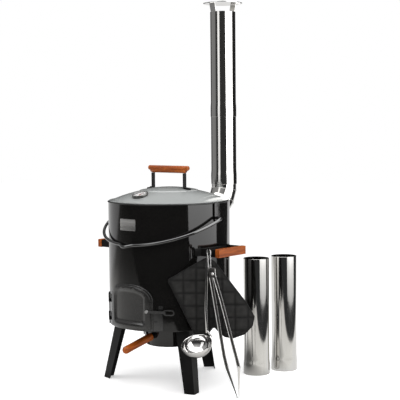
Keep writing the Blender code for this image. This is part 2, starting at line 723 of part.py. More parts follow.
def hinge_eye(bottom):
    """The rolled eye round the hinge pin, standing at the pin in the hinge's own frame."""
    eye = tube(EYE_RADIUS, PIN_RADIUS + SLIDE_GAP, bottom, bottom + EYE_HEIGHT, SMALL_SIDES)
    bmesh.ops.transform(eye, matrix=shift(0, -HINGE_RADIUS, 0), verts=eye.verts)
    return eye


def cut_pin_way(piece, bottom):
    way = disc(PIN_RADIUS + SLIDE_GAP, bottom - OVERRUN, bottom + EYE_HEIGHT + OVERRUN,
               SMALL_SIDES)
    cut(piece, way, shift(*HINGE_PLACE))


def make_hinge():
    turn = turn_z(HINGE_AZIMUTH)
    for name, bottom in (("hinge_eye_upper", UPPER_EYES_BOTTOM),
                         ("hinge_eye_lower", LOWER_EYES_BOTTOM)):
        foot = [(-EYE_FOOT_HALF_WIDTH, bottom), (EYE_FOOT_HALF_WIDTH, bottom),
                (EYE_FOOT_HALF_WIDTH, bottom + EYE_HEIGHT),
                (-EYE_FOOT_HALF_WIDTH, bottom + EYE_HEIGHT)]
        piece = add(name, wrapped_plate(foot, EYE_STRAP_THICKNESS, PLATE_RADIUS), BLACK_STEEL,
                    STOVE, turn)
        fuse(piece, hinge_eye(bottom), turn)
        cut_pin_way(piece, bottom)
    pin = [(0, PIN_BOTTOM), (PIN_RADIUS, PIN_BOTTOM), (PIN_RADIUS, PIN_TOP - PIN_HEAD_HEIGHT),
           (PIN_HEAD_RADIUS, PIN_TOP - PIN_HEAD_HEIGHT), (PIN_HEAD_RADIUS, PIN_TOP), (0, PIN_TOP)]
    add("hinge_pin", turned(pin, SMALL_SIDES), BLACK_STEEL, STOVE, shift(*HINGE_PLACE))


def make_door():
    """The leaf is one pressed sheet: a flat arched border round a sunken field."""
    border = arch(LEAF_HALF_WIDTH, LEAF_BOTTOM, LEAF_SPRING, LEAF_TOP)
    brow = arch(FIELD_HALF_WIDTH, FIELD_BOTTOM, FIELD_SPRING, FIELD_TOP, FIELD_SLOPE)
    field = arch(FIELD_HALF_WIDTH, FIELD_BOTTOM, FIELD_SPRING, FIELD_TOP)
    layers = ((field, -FIELD_DEPTH), (brow, 0), (border, 0), (border, LEAF_THICKNESS),
              (brow, LEAF_THICKNESS), (field, LEAF_THICKNESS - FIELD_DEPTH))
    rings = [[(side, depth, height) for side, height in outline] for outline, depth in layers]
    panel = add("door_panel", wrap(ring_solid(rings), LEAF_RADIUS), BLACK_STEEL, DOOR)
    hinge_arc = HINGE_AZIMUTH * LEAF_RADIUS
    for bottom in (UPPER_EYES_BOTTOM, LOWER_EYES_BOTTOM):
        low = bottom + EYE_HEIGHT + SEAT_GAP
        high = low + EYE_HEIGHT
        strap = [(hinge_arc, low), (OVERRUN - LEAF_HALF_WIDTH, low),
                 (OVERRUN - LEAF_HALF_WIDTH, high), (hinge_arc, high)]
        fuse(panel, wrapped_plate(strap, LEAF_THICKNESS, LEAF_RADIUS))
        fuse(panel, hinge_eye(low), turn_z(HINGE_AZIMUTH))
        cut_pin_way(panel, low)


def make_latch():
    shaft_start = LEAF_RADIUS + LEAF_THICKNESS + SEAT_GAP
    head_start = LEVER_FRONT + SEAT_GAP
    bolt = [(0, 0), (LATCH_BOLT_RADIUS, 0), (LATCH_BOLT_RADIUS, head_start - shaft_start),
            (LATCH_HEAD_RADIUS, head_start - shaft_start),
            (LATCH_HEAD_RADIUS * LATCH_HEAD_TOP_SHARE, head_start - shaft_start + LATCH_HEAD_HEIGHT),
            (0, head_start - shaft_start + LATCH_HEAD_HEIGHT)]
    add("latch_bolt", turned(bolt, SMALL_SIDES), BRIGHT_STEEL, DOOR,
        facing(LATCH_AZIMUTH, shaft_start, LATCH_HEIGHT))
    place = facing(LATCH_AZIMUTH, LEVER_BACK, LATCH_HEIGHT)
    bar_end = LEVER_LENGTH - LEVER_LOOP_LENGTH + LEVER_LOOP_RIM
    lever = add("latch_lever", block(stadium(0, bar_end, LEVER_WIDTH / 2, 6), 0,
                                     LEVER_THICKNESS), BLACK_STEEL, LATCH, place)
    half = LEVER_LOOP_WIDTH / 2
    first = LEVER_LENGTH - LEVER_LOOP_LENGTH + half
    outer = stadium(first, LEVER_LENGTH - half, half, 8)
    inner = stadium(first, LEVER_LENGTH - half, half - LEVER_LOOP_RIM, 8)
    rings = [[(side, height, depth) for side, height in outline]
             for outline, depth in ((outer, 0), (outer, LEVER_THICKNESS),
                                    (inner, LEVER_THICKNESS), (inner, 0))]
    fuse(lever, ring_solid(rings, closed=True), place)
    cut(lever, disc(LATCH_BOLT_RADIUS + SLIDE_GAP, -OVERRUN, LEVER_THICKNESS + OVERRUN,
                    SMALL_SIDES), place)


def make_keeper():
    """A plate beside the door frame with a strap, whose ledge carries the closed lever."""
    left, strap, right = (azimuth * PLATE_RADIUS
                          for azimuth in (KEEPER_LEFT, KEEPER_STRAP_LEFT, KEEPER_RIGHT))
    outline = [(left, KEEPER_BOTTOM), (right, KEEPER_BOTTOM), (right, KEEPER_TOP),
               (strap, KEEPER_TOP), (strap, KEEPER_PLATE_TOP), (left, KEEPER_PLATE_TOP)]
    keeper = add("latch_keeper", wrapped_plate(outline, KEEPER_THICKNESS, PLATE_RADIUS),
                 BLACK_STEEL, STOVE)
    middle = (KEEPER_STRAP_LEFT + KEEPER_RIGHT) / 2
    ledge_top = LATCH_HEIGHT - LEVER_WIDTH / 2 - SEAT_GAP
    reach = LEVER_FRONT / cos(middle - LATCH_AZIMUTH)
    ledge = block(rectangle(right - strap - 2 * SLIDE_GAP, LEDGE_THICKNESS),
                  PLATE_RADIUS + KEEPER_THICKNESS / 2, reach)
    fuse(keeper, ledge, facing(middle, 0, ledge_top - LEDGE_THICKNESS / 2))
    slot_place = facing((KEEPER_LEFT + KEEPER_STRAP_LEFT) / 2, 0,
                        (KEEPER_BOTTOM + KEEPER_PLATE_TOP) / 2)
    cut(keeper, block(rectangle(KEEPER_SLOT_WIDTH, KEEPER_SLOT_HEIGHT),
                      PLATE_RADIUS - OVERRUN, PLATE_RADIUS + KEEPER_THICKNESS + OVERRUN),
        slot_place)


# Flue: collar on the drum, gored elbow, two pipes and a cap on straps

PIPE_BORE = PIPE_RADIUS - PIPE_WALL
SOCKET_BORE = PIPE_RADIUS + SEAT_GAP
SOCKET_RADIUS = SOCKET_BORE + PIPE_WALL
FLUE_BACK = ELBOW_START + ELBOW_BEND_RADIUS
ELBOW_TOP = FLUE_HEIGHT + ELBOW_BEND_RADIUS
ELBOW_SPIGOT_TOP = ELBOW_TOP + SOCKET_DEPTH - SLIDE_GAP
UPPER_PIPE_BOTTOM = LOWER_PIPE_TOP + SLIDE_GAP - SOCKET_DEPTH
FLUE_PLACE = shift(0, FLUE_BACK, 0)


def socket_pipe(low, high):
    """A thin pipe whose lower end is widened into a socket for the pipe below."""
    neck = low + SOCKET_DEPTH
    body = neck + SOCKET_TAPER
    return turned([(SOCKET_RADIUS, low), (SOCKET_RADIUS, neck), (PIPE_RADIUS, body),
                   (PIPE_RADIUS, high), (PIPE_BORE, high), (PIPE_BORE, body),
                   (SOCKET_BORE, neck), (SOCKET_BORE, low)], ROUND_SIDES)


def make_flue():
    collar = add("flue_collar", tube(SOCKET_BORE + COLLAR_WALL, SOCKET_BORE, BODY_RADIUS / 2,
                                     COLLAR_END, ROUND_SIDES), BLACK_STEEL, STOVE,
                 facing(pi, 0, FLUE_HEIGHT))
    cut(collar, disc(BODY_RADIUS + SEAT_GAP, BODY_BOTTOM, BODY_TOP + OVERRUN, DRUM_SIDES))
    half_bend = pi / 4 / ELBOW_BENDS
    mitre_radius = ELBOW_BEND_RADIUS / cos(half_bend)
    path = [(0, ELBOW_START, FLUE_HEIGHT)]
    for index in range(ELBOW_BENDS):
        angle = half_bend * (2 * index + 1)
        path.append((0, ELBOW_START + mitre_radius * sin(angle),
                     ELBOW_TOP - mitre_radius * cos(angle)))
    path.append((0, FLUE_BACK, ELBOW_SPIGOT_TOP))
    add("flue_elbow", pipe(path, PIPE_RADIUS, PIPE_WALL, (1, 0, 0)), STAINLESS, STOVE)
    add("flue_lower", socket_pipe(ELBOW_TOP, LOWER_PIPE_TOP), STAINLESS, STOVE, FLUE_PLACE)
    add("flue_upper", socket_pipe(UPPER_PIPE_BOTTOM, UPPER_PIPE_TOP), STAINLESS, STOVE,
        FLUE_PLACE)


def cap_underside(radius):
    return CAP_RIM_HEIGHT + CAP_RISE * (1 - radius / CAP_RADIUS)


def make_cap():
    """A flat cone on two flat straps that stand inside the top pipe."""
    cap = [(0, cap_underside(0)), (CAP_RADIUS, CAP_RIM_HEIGHT),
           (CAP_RADIUS, CAP_RIM_HEIGHT + CAP_SHEET), (0, cap_underside(0) + CAP_SHEET)]
    add("flue_cap", turned(cap, ROUND_SIDES), STAINLESS, STOVE, FLUE_PLACE)
    reach = PIPE_BORE * cos(pi / ROUND_SIDES) - SEAT_GAP
    start = sqrt(reach ** 2 - (CAP_STRAP_WIDTH / 2) ** 2) - CAP_STRAP_THICKNESS / 2
    lean = start + CAP_STRAP_LEAN
    tab_end = CAP_RADIUS - CAP_TAB_MARGIN
    drop = SEAT_GAP + CAP_STRAP_THICKNESS
    path = [(0, -start, UPPER_PIPE_TOP - CAP_STRAP_DROP), (0, -start, UPPER_PIPE_TOP),
            (0, -lean, cap_underside(lean) - drop), (0, -tab_end, cap_underside(tab_end) - drop)]
    for number, azimuth in ((1, CAP_STRAP_AZIMUTH), (2, CAP_STRAP_AZIMUTH + pi)):
        add(f"cap_strap_{number}", swept(path, rectangle(CAP_STRAP_THICKNESS, CAP_STRAP_WIDTH),
                                         (1, 0, 0)), STAINLESS, STOVE,
            FLUE_PLACE @ turn_z(azimuth))


# Legs of folded angle, each with a tab bolted under the base

LEG_TOP = BODY_BOTTOM - SEAT_GAP
LEG_BOLT_PLACE = LEG_TOP_RADIUS - LEG_BOLT_INSET


def leg_section(corner, width, height):
    """The angle's outline at a height: its edge at the corner, its flanges at 45 degrees."""
    run = width * sin(pi / 4)
    wall = LEG_THICKNESS / sin(pi / 4)
    skew = LEG_THICKNESS * sin(pi / 4)
    return [(0, -corner, height), (run, run - corner, height),
            (run - skew, run + skew - corner, height), (0, wall - corner, height),
            (skew - run, run + skew - corner, height), (-run, run - corner, height)]


def make_legs():
    for number, azimuth in enumerate(LEG_AZIMUTHS, 1):
        turn = turn_z(azimuth)
        rings = [leg_section(LEG_TOP_RADIUS, LEG_TOP_WIDTH, LEG_TOP),
                 leg_section(LEG_FOOT_RADIUS, LEG_FOOT_WIDTH, 0)]
        leg = add(f"leg_{number}", ring_solid(rings), BLACK_STEEL, STOVE, turn)
        near = LEG_THICKNESS - LEG_TOP_RADIUS
        tab = [(0, near), (LEG_TAB_DEPTH, near + LEG_TAB_DEPTH),
               (-LEG_TAB_DEPTH, near + LEG_TAB_DEPTH)]
        fuse(leg, block(tab, LEG_TOP - LEG_THICKNESS, LEG_TOP), turn)
        bolt_place = turn @ shift(0, -LEG_BOLT_PLACE, 0)
        cut(leg, disc(LEG_BOLT_RADIUS + SLIDE_GAP, LEG_TOP - LEG_THICKNESS - OVERRUN,
                      LEG_TOP + OVERRUN, SMALL_SIDES), bolt_place)
        under = LEG_TOP - LEG_THICKNESS - SEAT_GAP
        bolt = [(0, under - LEG_BOLT_HEAD_HEIGHT),
                (LEG_BOLT_HEAD_RADIUS, under - LEG_BOLT_HEAD_HEIGHT),
                (LEG_BOLT_HEAD_RADIUS, under), (LEG_BOLT_RADIUS, under),
                (LEG_BOLT_RADIUS, BASE_TOP + OVERRUN), (0, BASE_TOP + OVERRUN)]
        add(f"leg_bolt_{number}", turned(bolt, SMALL_SIDES), BRIGHT_STEEL, STOVE, bolt_place)


# Ash pan hanging by its flange in two rails under the base

PAN = joint_empty("pan_slide", (0, 0, PAN_TOP), STOVE)
PAN_FLANGE_BOTTOM = PAN_TOP - PAN_WALL


def pan_radius(height):
    """Outer radius of the pan's leaning wall at a height."""
    share = (height - PAN_BOTTOM) / (PAN_FLANGE_BOTTOM - PAN_BOTTOM)
    return PAN_BOTTOM_RADIUS + (PAN_TOP_RADIUS - PAN_BOTTOM_RADIUS) * share


def make_pan():
    """A flanged pan with a boss in front, and a wooden handle that slopes down from the boss."""
    start = pan_radius(PAN_HANDLE_HEIGHT) + PAN_BOSS_LENGTH
    place = shift(0, -start, PAN_HANDLE_HEIGHT) @ Matrix.Rotation(
        pi / 2 + PAN_HANDLE_SLOPE, 4, "X")
    outer = [(0, PAN_BOTTOM), (PAN_BOTTOM_RADIUS, PAN_BOTTOM),
             (PAN_TOP_RADIUS, PAN_FLANGE_BOTTOM), (PAN_FLANGE_RADIUS, PAN_FLANGE_BOTTOM),
             (PAN_FLANGE_RADIUS, PAN_TOP), (0, PAN_TOP)]
    pan = add("ash_pan", turned(outer, ROUND_SIDES), ENAMEL, PAN)
    fuse(pan, disc(PAN_BOSS_RADIUS, -2 * PAN_BOSS_LENGTH, 0, ROUND_SIDES // 2), place)
    low = PAN_BOTTOM + PAN_WALL
    high = PAN_TOP + OVERRUN
    cut(pan, turned([(0, low), (pan_radius(low) - PAN_WALL, low),
                     (pan_radius(high) - PAN_WALL, high), (0, high)], ROUND_SIDES))
    radius = PAN_HANDLE_RADIUS
    handle = [(0, SEAT_GAP), (radius, SEAT_GAP), (radius, PAN_HANDLE_LENGTH - radius / 2)]
    handle += [(radius * cos(angle), PAN_HANDLE_LENGTH - radius / 2 * (1 - sin(angle)))
               for angle in (radians(30), radians(60))]
    handle += [(0, PAN_HANDLE_LENGTH)]
    add("ash_handle", turned(handle, ROUND_SIDES // 2), WOOD, PAN, place)


def make_rails():
    inner = PAN_FLANGE_RADIUS + RAIL_GAP
    outer = inner + RAIL_THICKNESS
    top = BODY_BOTTOM - SEAT_GAP
    lip_top = PAN_FLANGE_BOTTOM - SEAT_GAP
    half = [(outer + RAIL_FLANGE, top), (inner, top), (inner, lip_top),
            (inner - RAIL_LIP, lip_top), (inner - RAIL_LIP, lip_top - RAIL_THICKNESS),
            (inner, lip_top - RAIL_THICKNESS), (inner, RAIL_BOTTOM), (outer, RAIL_BOTTOM),
            (outer, top - RAIL_THICKNESS), (outer + RAIL_FLANGE, top - RAIL_THICKNESS)]
    for name, hand in (("pan_rail_left", -1), ("pan_rail_right", 1)):
        outline = [(hand * side, height) for side, height in half]
        add(name, block(outline, RAIL_FRONT, RAIL_BACK, "Y"), BLACK_STEEL, STOVE)


# Carrying handles

def side_angle(lateral, radius):
    """Angle at which a circle reaches a sideways distance."""
    return atan2(lateral, sqrt(radius ** 2 - lateral ** 2))


def make_carrying_handles():
    """A flat bracket with two arms each side, and a wooden grip across the arms' ends."""
    inner = PLATE_RADIUS
    outer = PLATE_RADIUS + BRACKET_THICKNESS
    arm_in = BRACKET_ARM_HALF_GAP - BRACKET_THICKNESS / 2
    arm_out = BRACKET_ARM_HALF_GAP + BRACKET_THICKNESS / 2
    tab = BRACKET_ARM_HALF_GAP - BRACKET_TAB
    for name, hand in (("left", -1), ("right", 1)):
        upper = [(BRACKET_REACH, arm_out), (BRACKET_REACH, tab),
                 (BRACKET_REACH - BRACKET_THICKNESS, tab),
                 (BRACKET_REACH - BRACKET_THICKNESS, arm_in)]
        lower = [(side, -lateral) for side, lateral in upper[::-1]]
        first = side_angle(arm_out, outer)
        second = side_angle(arm_in, outer)
        outline = arc((0, 0), inner, -BRACKET_FOOT_ANGLE, BRACKET_FOOT_ANGLE, 12)
        outline += arc((0, 0), outer, BRACKET_FOOT_ANGLE, first, 2) + upper
        outline += arc((0, 0), outer, second, -second, 8) + lower
        outline += arc((0, 0), outer, -first, -BRACKET_FOOT_ANGLE, 2)
        outline = [(hand * side, lateral) for side, lateral in outline]
        add(f"side_bracket_{name}", block(outline, BRACKET_BOTTOM, BRACKET_TOP), BLACK_STEEL,
            STOVE)
        near = BRACKET_REACH + SEAT_GAP
        middle = (BRACKET_BOTTOM + BRACKET_TOP) / 2
        grip = block(rectangle(2 * GRIP_HALF_LENGTH, GRIP_HEIGHT), near, near + GRIP_THICKNESS,
                     "X")
        add(f"side_grip_{name}", grip, WOOD, STOVE,
            shift(0, 0, middle) @ turn_z(0 if hand > 0 else pi))


# Pot with its ears and swinging bail

RIM_BOTTOM = BODY_TOP + SEAT_GAP
RIM_TOP = RIM_BOTTOM + RIM_THICKNESS
EAR_INNER = RIM_RADIUS + SEAT_GAP
EAR_OUTER = EAR_INNER + EAR_THICKNESS
BAIL_TILT = acos((PLATE_RADIUS + PLATE_THICKNESS + SLIDE_GAP + BAIL_WIRE) / BAIL_RADIUS)
POT = joint_empty("pot_lift", (0, 0, POT_BOTTOM), STOVE)
BAIL = joint_empty("bail_hinge", (0, 0, BAIL_PIVOT_HEIGHT), POT)


def make_pot():
    bore = POT_RADIUS - POT_WALL
    profile = [(0, POT_BOTTOM)]
    profile += arc((POT_RADIUS - POT_CORNER, POT_BOTTOM + POT_CORNER), POT_CORNER, -pi / 2, 0, 3)
    profile += [(POT_RADIUS, RIM_BOTTOM), (RIM_RADIUS, RIM_BOTTOM), (RIM_RADIUS, RIM_TOP),
                (bore, RIM_TOP)]
    profile += arc((POT_RADIUS - POT_CORNER, POT_BOTTOM + POT_CORNER), POT_CORNER - POT_WALL,
                   0, -pi / 2, 3)
    profile += [(0, POT_BOTTOM + POT_WALL)]
    add("pot", turned(profile, DRUM_SIDES), ENAMEL, POT)
    round_top = BAIL_PIVOT_HEIGHT
    outline = arc((0, round_top), EAR_HALF_WIDTH, -pi, 0, 10)
    outline += [(EAR_HALF_WIDTH, RIM_TOP - SEAT_GAP), (-EAR_HALF_WIDTH, RIM_TOP - SEAT_GAP)]
    for name, turn in (("pot_ear_right", 0), ("pot_ear_left", pi)):
        place = turn_z(turn)
        ear = add(name, block(outline, EAR_INNER, EAR_OUTER, "X"), ENAMEL, POT, place)
        hole = block([(a, b + BAIL_PIVOT_HEIGHT) for a, b in circle(EAR_HOLE_RADIUS, 20)],
                     EAR_INNER - OVERRUN, EAR_OUTER + OVERRUN, "X")
        cut(ear, hole, place)


def make_bail():
    """A wire bail: short pivots through the ears, then a half circle with a notch in front."""
    start = EAR_INNER + SEAT_GAP
    corner = BAIL_RADIUS - BAIL_CORNER
    right = [(start, 0)] + arc((corner, BAIL_CORNER), BAIL_CORNER, -pi / 2, -pi / 8, 3)
    first = 2 * BAIL_CORNER / BAIL_RADIUS
    steps = 30
    bow = []
    for k in range(steps + 1):
        angle = first + (pi - 2 * first) * k / steps
        notch = max(0, 1 - abs(angle - pi / 2) / BAIL_NOTCH_ANGLE)
        radius = BAIL_RADIUS + BAIL_NOTCH * notch
        bow.append((radius * cos(angle), radius * sin(angle)))
    left = [(-side, reach) for side, reach in right[::-1]]
    forward = Vector((0, -cos(BAIL_TILT), -sin(BAIL_TILT)))
    pivot = Vector((0, 0, BAIL_PIVOT_HEIGHT))
    path = [pivot + Vector((side, 0, 0)) + forward * reach for side, reach in right + bow + left]
    across = Vector((1, 0, 0)).cross(forward)
    add("bail", rod(path, BAIL_WIRE, across, 8), BLACK_STEEL, BAIL)


# Lid with its handle and thermometer

LID_BOTTOM = RIM_TOP + SEAT_GAP
LID_EDGE_TOP = LID_BOTTOM + LID_EDGE
LID = joint_empty("lid_lift", (0, 0, LID_BOTTOM), POT)


def dome_height(radius):
    """Height of the lid's top at a distance from its middle."""
    dome = LID_EDGE_TOP + LID_RISE * (1 - (radius / LID_DOME_RADIUS) ** 2)
    inward = (LID_STEP_RADIUS - radius) / LID_STEP_WIDTH + 0.5
    return dome + LID_STEP_RISE * min(1, max(0, inward))


def make_lid():
    step = LID_STEP_WIDTH / 2
    between = LID_DOME_RADIUS - LID_STEP_RADIUS
    stations = [0, LID_STEP_RADIUS / 2, LID_STEP_RADIUS - step, LID_STEP_RADIUS + step,
                LID_STEP_RADIUS + between / 3, LID_STEP_RADIUS + between * 2 / 3,
                LID_DOME_RADIUS]
    top = [(radius, dome_height(radius)) for radius in stations]
    under = [(radius, dome_height(radius) - LID_SHEET) for radius in stations[:-1]]
    profile = top + [(LID_RADIUS, LID_EDGE_TOP), (LID_RADIUS, LID_BOTTOM),
                     (LID_DOME_RADIUS, LID_BOTTOM)] + under[::-1]
    lid = add("lid", turned(profile, DRUM_SIDES), GREY_ENAMEL, LID)
    cut(lid, disc(STEM_RADIUS + SLIDE_GAP, -GAUGE_HEIGHT, GAUGE_HEIGHT, SMALL_SIDES),
        GAUGE_FRAME)


def grip_ring(along, radius):
    """One ring of the lid's grip: its thinner ends keep level with the middle's top."""
    top = POST_TOP + SEAT_GAP + 2 * LID_GRIP_RADIUS
    inset = max(0, LID_GRIP_END_RADIUS - radius)
    return [(along, side, top - inset - radius + up)
            for side, up in circle(radius, ROUND_SIDES // 2)]


def make_lid_handle():
    """Two flat posts that stand on the lid, and a wooden grip across their tops."""
    seat = SEAT_GAP * 2 + POST_THICKNESS / 2
    foot_end = POST_PLACE + POST_FOOT
    path = [(foot_end, 0, dome_height(foot_end) + seat),
            (POST_PLACE, 0, dome_height(POST_PLACE) + seat), (POST_PLACE, 0, POST_TOP)]
    for name, turn in (("lid_post_right", 0), ("lid_post_left", pi)):
        add(name, swept(path, rectangle(POST_THICKNESS, POST_WIDTH), (0, 1, 0)), BLACK_STEEL,
            LID, turn_z(turn))
    neck = POST_PLACE + POST_THICKNESS
    half = [(neck, LID_GRIP_RADIUS), (neck + LID_GRIP_SHOULDER, LID_GRIP_END_RADIUS),
            (LID_GRIP_HALF_LENGTH - LID_GRIP_CORNER, LID_GRIP_END_RADIUS),
            (LID_GRIP_HALF_LENGTH, LID_GRIP_END_RADIUS - LID_GRIP_CORNER)]
    stations = [(-along, radius) for along, radius in half[::-1]] + half
    add("lid_grip", ring_solid([grip_ring(along, radius) for along, radius in stations]), WOOD,
        LID)


GAUGE_SLOPE = atan2(2 * LID_RISE * GAUGE_PLACE, LID_DOME_RADIUS ** 2)
GAUGE_FRAME = (shift(0, -GAUGE_PLACE, dome_height(GAUGE_PLACE))
               @ Matrix.Rotation(GAUGE_SLOPE, 4, "X"))
DIAL_TOP = GAUGE_FLOOR + SEAT_GAP + DIAL_THICKNESS
NEEDLE = joint_empty("needle_pivot", GAUGE_FRAME @ Vector((0, 0, DIAL_TOP)), LID)


def make_gauge():
    """A dial thermometer in its own frame: its stem runs down through the lid."""
    bore = GAUGE_RADIUS - GAUGE_RIM
    case = [(0, -STEM_LENGTH), (STEM_RADIUS, STEM_RADIUS - STEM_LENGTH), (STEM_RADIUS, SEAT_GAP),
            (GAUGE_RADIUS, SEAT_GAP), (GAUGE_RADIUS, GAUGE_HEIGHT), (bore, GAUGE_HEIGHT),
            (bore, GAUGE_FLOOR), (0, GAUGE_FLOOR)]
    add("thermometer_case", turned(case, ROUND_SIDES), BRIGHT_STEEL, LID, GAUGE_FRAME)
    add("thermometer_dial", tube(bore - SEAT_GAP, DIAL_HOLE_RADIUS, GAUGE_FLOOR + SEAT_GAP,
                                 DIAL_TOP, ROUND_SIDES), DIAL_WHITE, LID, GAUGE_FRAME)
    low = DIAL_TOP + SEAT_GAP
    outline = [(-NEEDLE_WIDTH / 2, -NEEDLE_TAIL), (NEEDLE_WIDTH / 2, -NEEDLE_TAIL),
               (NEEDLE_WIDTH / 4, NEEDLE_LENGTH), (-NEEDLE_WIDTH / 4, NEEDLE_LENGTH)]
    needle = add("thermometer_needle", block(outline, low, low + NEEDLE_THICKNESS), NEEDLE_RED,
                 NEEDLE, GAUGE_FRAME)
    hub = [(0, GAUGE_FLOOR + SEAT_GAP), (DIAL_HOLE_RADIUS - SEAT_GAP, GAUGE_FLOOR + SEAT_GAP),
           (DIAL_HOLE_RADIUS - SEAT_GAP, low), (NEEDLE_HUB_RADIUS, low),
           (NEEDLE_HUB_RADIUS, low + 2 * NEEDLE_THICKNESS), (0, low + 2 * NEEDLE_THICKNESS)]
    fuse(needle, turned(hub, SMALL_SIDES), GAUGE_FRAME)
    glass_top = GAUGE_HEIGHT - GLASS_DROP
    add("thermometer_glass", disc(bore - SEAT_GAP, glass_top - GLASS_THICKNESS, glass_top,
                                  ROUND_SIDES), CLEAR_GLASS, LID, GAUGE_FRAME)


# Tool hook, mitts, ladle and tongs, drawn in the tools' own frame: +X along, -Y outward

ARM_FACE = -(BRACKET_ARM_HALF_GAP + BRACKET_THICKNESS / 2) - SEAT_GAP
HOOK_CORNER = TOOL_TURN.inverted() @ Vector((HOOK_PLACE, ARM_FACE - HOOK_ROOT, 0))
HOOK_ALONG = HOOK_CORNER.x
HOOK_START = -HOOK_CORNER.y
HOOK_SLOPE = (HOOK_END_HEIGHT - HOOK_FOOT_HEIGHT) / (HOOK_END - HOOK_START)


def hook_height(outward):
    """Height of the rising hook's middle at a distance out."""
    return HOOK_FOOT_HEIGHT + HOOK_SLOPE * (outward - HOOK_START)


def hanging_joint(name, layer, parent):
    return joint_empty(name, tool_place(HOOK_ALONG, layer, hook_height(layer)), parent)


LADLE = hanging_joint("ladle_pivot", LADLE_LAYER, STOVE)
TONGS = hanging_joint("tongs_pivot", TONGS_LAYER, STOVE)
MITT_LEFT = hanging_joint("mitt_left_pivot", MITT_LEFT_LAYER, STOVE)
MITT_RIGHT = hanging_joint("mitt_right_pivot", MITT_RIGHT_LAYER, STOVE)


def make_hook():
    root = TOOL_TURN.inverted() @ Vector((HOOK_PLACE, ARM_FACE, 0))
    foot = [Vector((root.x, root.y, HOOK_FOOT_HEIGHT)),
            Vector((HOOK_ALONG, -HOOK_START, HOOK_FOOT_HEIGHT))]
    across = (foot[1] - foot[0]).cross(Vector((0, -1, HOOK_SLOPE)))
    tip = (HOOK_ALONG, -HOOK_END, HOOK_END_HEIGHT)
    hook = add("tool_hook", rod(foot + [Vector(tip)], HOOK_RADIUS, across), BLACK_STEEL, STOVE,
               TOOL_TURN)
    inset = HOOK_RADIUS / 2
    upstand = [(HOOK_ALONG, -HOOK_END, HOOK_END_HEIGHT - inset),
               (HOOK_ALONG, -HOOK_END, HOOK_END_HEIGHT + HOOK_TIP)]
    fuse(hook, rod(upstand, HOOK_RADIUS, (1, 0, 0)), TOOL_TURN)


def from_hook(layer, shares, length):
    """A point in the tools' frame, from shares of a length along and up from the hook."""
    return Vector((HOOK_ALONG + shares[0] * length, -layer,
                   hook_height(layer) + shares[1] * length))


def closed_rod(path, radius, binormal, sides):
    """A round wire whose path closes on itself."""
    rings = swept_rings([path[-1]] + path + [path[0]], circle(radius, sides), binormal)
    return ring_solid(rings[1:-1], closed=True)


def long_loop(first, last, radius, steps=6):
    """A round-ended loop about two points of one layer."""
    run = (last - first).normalized()
    side = Vector((0, 1, 0)).cross(run)
    path = []
    for centre, start in ((first, 0), (last, pi)):
        for k in range(steps + 1):
            angle = start + pi * k / steps
            path.append(centre + side * (radius * cos(angle)) - run * (radius * sin(angle)))
    return path


def edge_distance(point, outline):
    """Distance from a point to the nearest side of an outline."""
    nearest = MITT_SPAN
    for index, end in enumerate(outline):
        start = outline[index - 1]
        run = end - start
        share = min(1, max(0, (point - start).dot(run) / run.length_squared))
        nearest = min(nearest, (point - start - run * share).length)
    return nearest


def quilted(outline, layer):
    """A padded form with a thin rolled edge, sewn in squares along upright and level lines."""
    half_edge = MITT_EDGE_THICKNESS / 2
    mesh = block(outline, -layer - half_edge, -layer + half_edge, "Y")
    count = int(MITT_SPAN / QUILT_PITCH) + 1
    for normal in (Vector((1, 0, 0)), Vector((0, 0, 1))):
        for index in range(-2 * count, 2 * count + 1):
            place = Vector((HOOK_ALONG, 0, hook_height(layer))) + normal * (
                index * QUILT_PITCH / 2)
            bmesh.ops.bisect_plane(mesh, geom=mesh.verts[:] + mesh.edges[:] + mesh.faces[:],
                                   dist=SEAT_GAP / 100, plane_co=place, plane_no=normal)
    bmesh.ops.triangulate(mesh, faces=mesh.faces)
    for vert in mesh.verts:
        place = Vector((vert.co.x, vert.co.z))
        roll = min(1, edge_distance(place, outline) / MITT_ROLL)
        half = half_edge + (MITT_THICKNESS / 2 - half_edge) * sin(pi / 2 * roll)
        for across, origin in ((place.x, HOOK_ALONG), (place.y, hook_height(layer))):
            wave = (across - origin) / QUILT_PITCH
            if abs(wave - round(wave)) < SEAT_GAP:
                half -= QUILT_DEPTH * roll / 2
        side = 1 if vert.co.y > -layer else -1
        vert.co.y = -layer + side * half
    return mesh


def make_mitts():
    for name, shares, layer, joint in (
            ("mitt_left", MITT_LEFT_SHARES, MITT_LEFT_LAYER, MITT_LEFT),
            ("mitt_right", MITT_RIGHT_SHARES, MITT_RIGHT_LAYER, MITT_RIGHT)):
        points = [from_hook(layer, share, MITT_SPAN) for share in shares]
        outline = rounded([(point.x, point.z) for point in points], MITT_CORNER)
        mitt = add(name, quilted(outline, layer), QUILT_CLOTH, joint, TOOL_TURN)
        hang = from_hook(layer, (0, 0), MITT_SPAN)
        stem = hang - Vector((0, 0, MITT_LOOP_DROP))
        fuse(mitt, closed_rod(long_loop(hang, stem, MITT_LOOP_RADIUS), MITT_LOOP_WIRE,
                              (0, 1, 0), 8), TOOL_TURN)


def rim_side(radius, height=0.0):
    """A place in the bowl's frame, toward the part of its rim that the handle holds."""
    return Vector((radius * sin(LADLE_ATTACH_ANGLE), radius * cos(LADLE_ATTACH_ANGLE), height))


def ladle_bowl_frame():
    """The bowl's frame: the middle of its mouth is the origin, +Y points to the rim's back."""
    end = from_hook(LADLE_LAYER, (LADLE_BEND_SHARES[-1][0], -LADLE_BEND_SHARES[-1][1]),
                    LADLE_HANDLE_LENGTH)
    rim = end + Vector((LADLE_RIM_ALONG, 0, -LADLE_RIM_DROP))
    turn = turn_z(LADLE_BOWL_TURN) @ Matrix.Rotation(LADLE_BOWL_TILT, 4, "X")
    centre = rim - turn @ rim_side(LADLE_BOWL_RADIUS)
    return Matrix.Translation(centre) @ turn


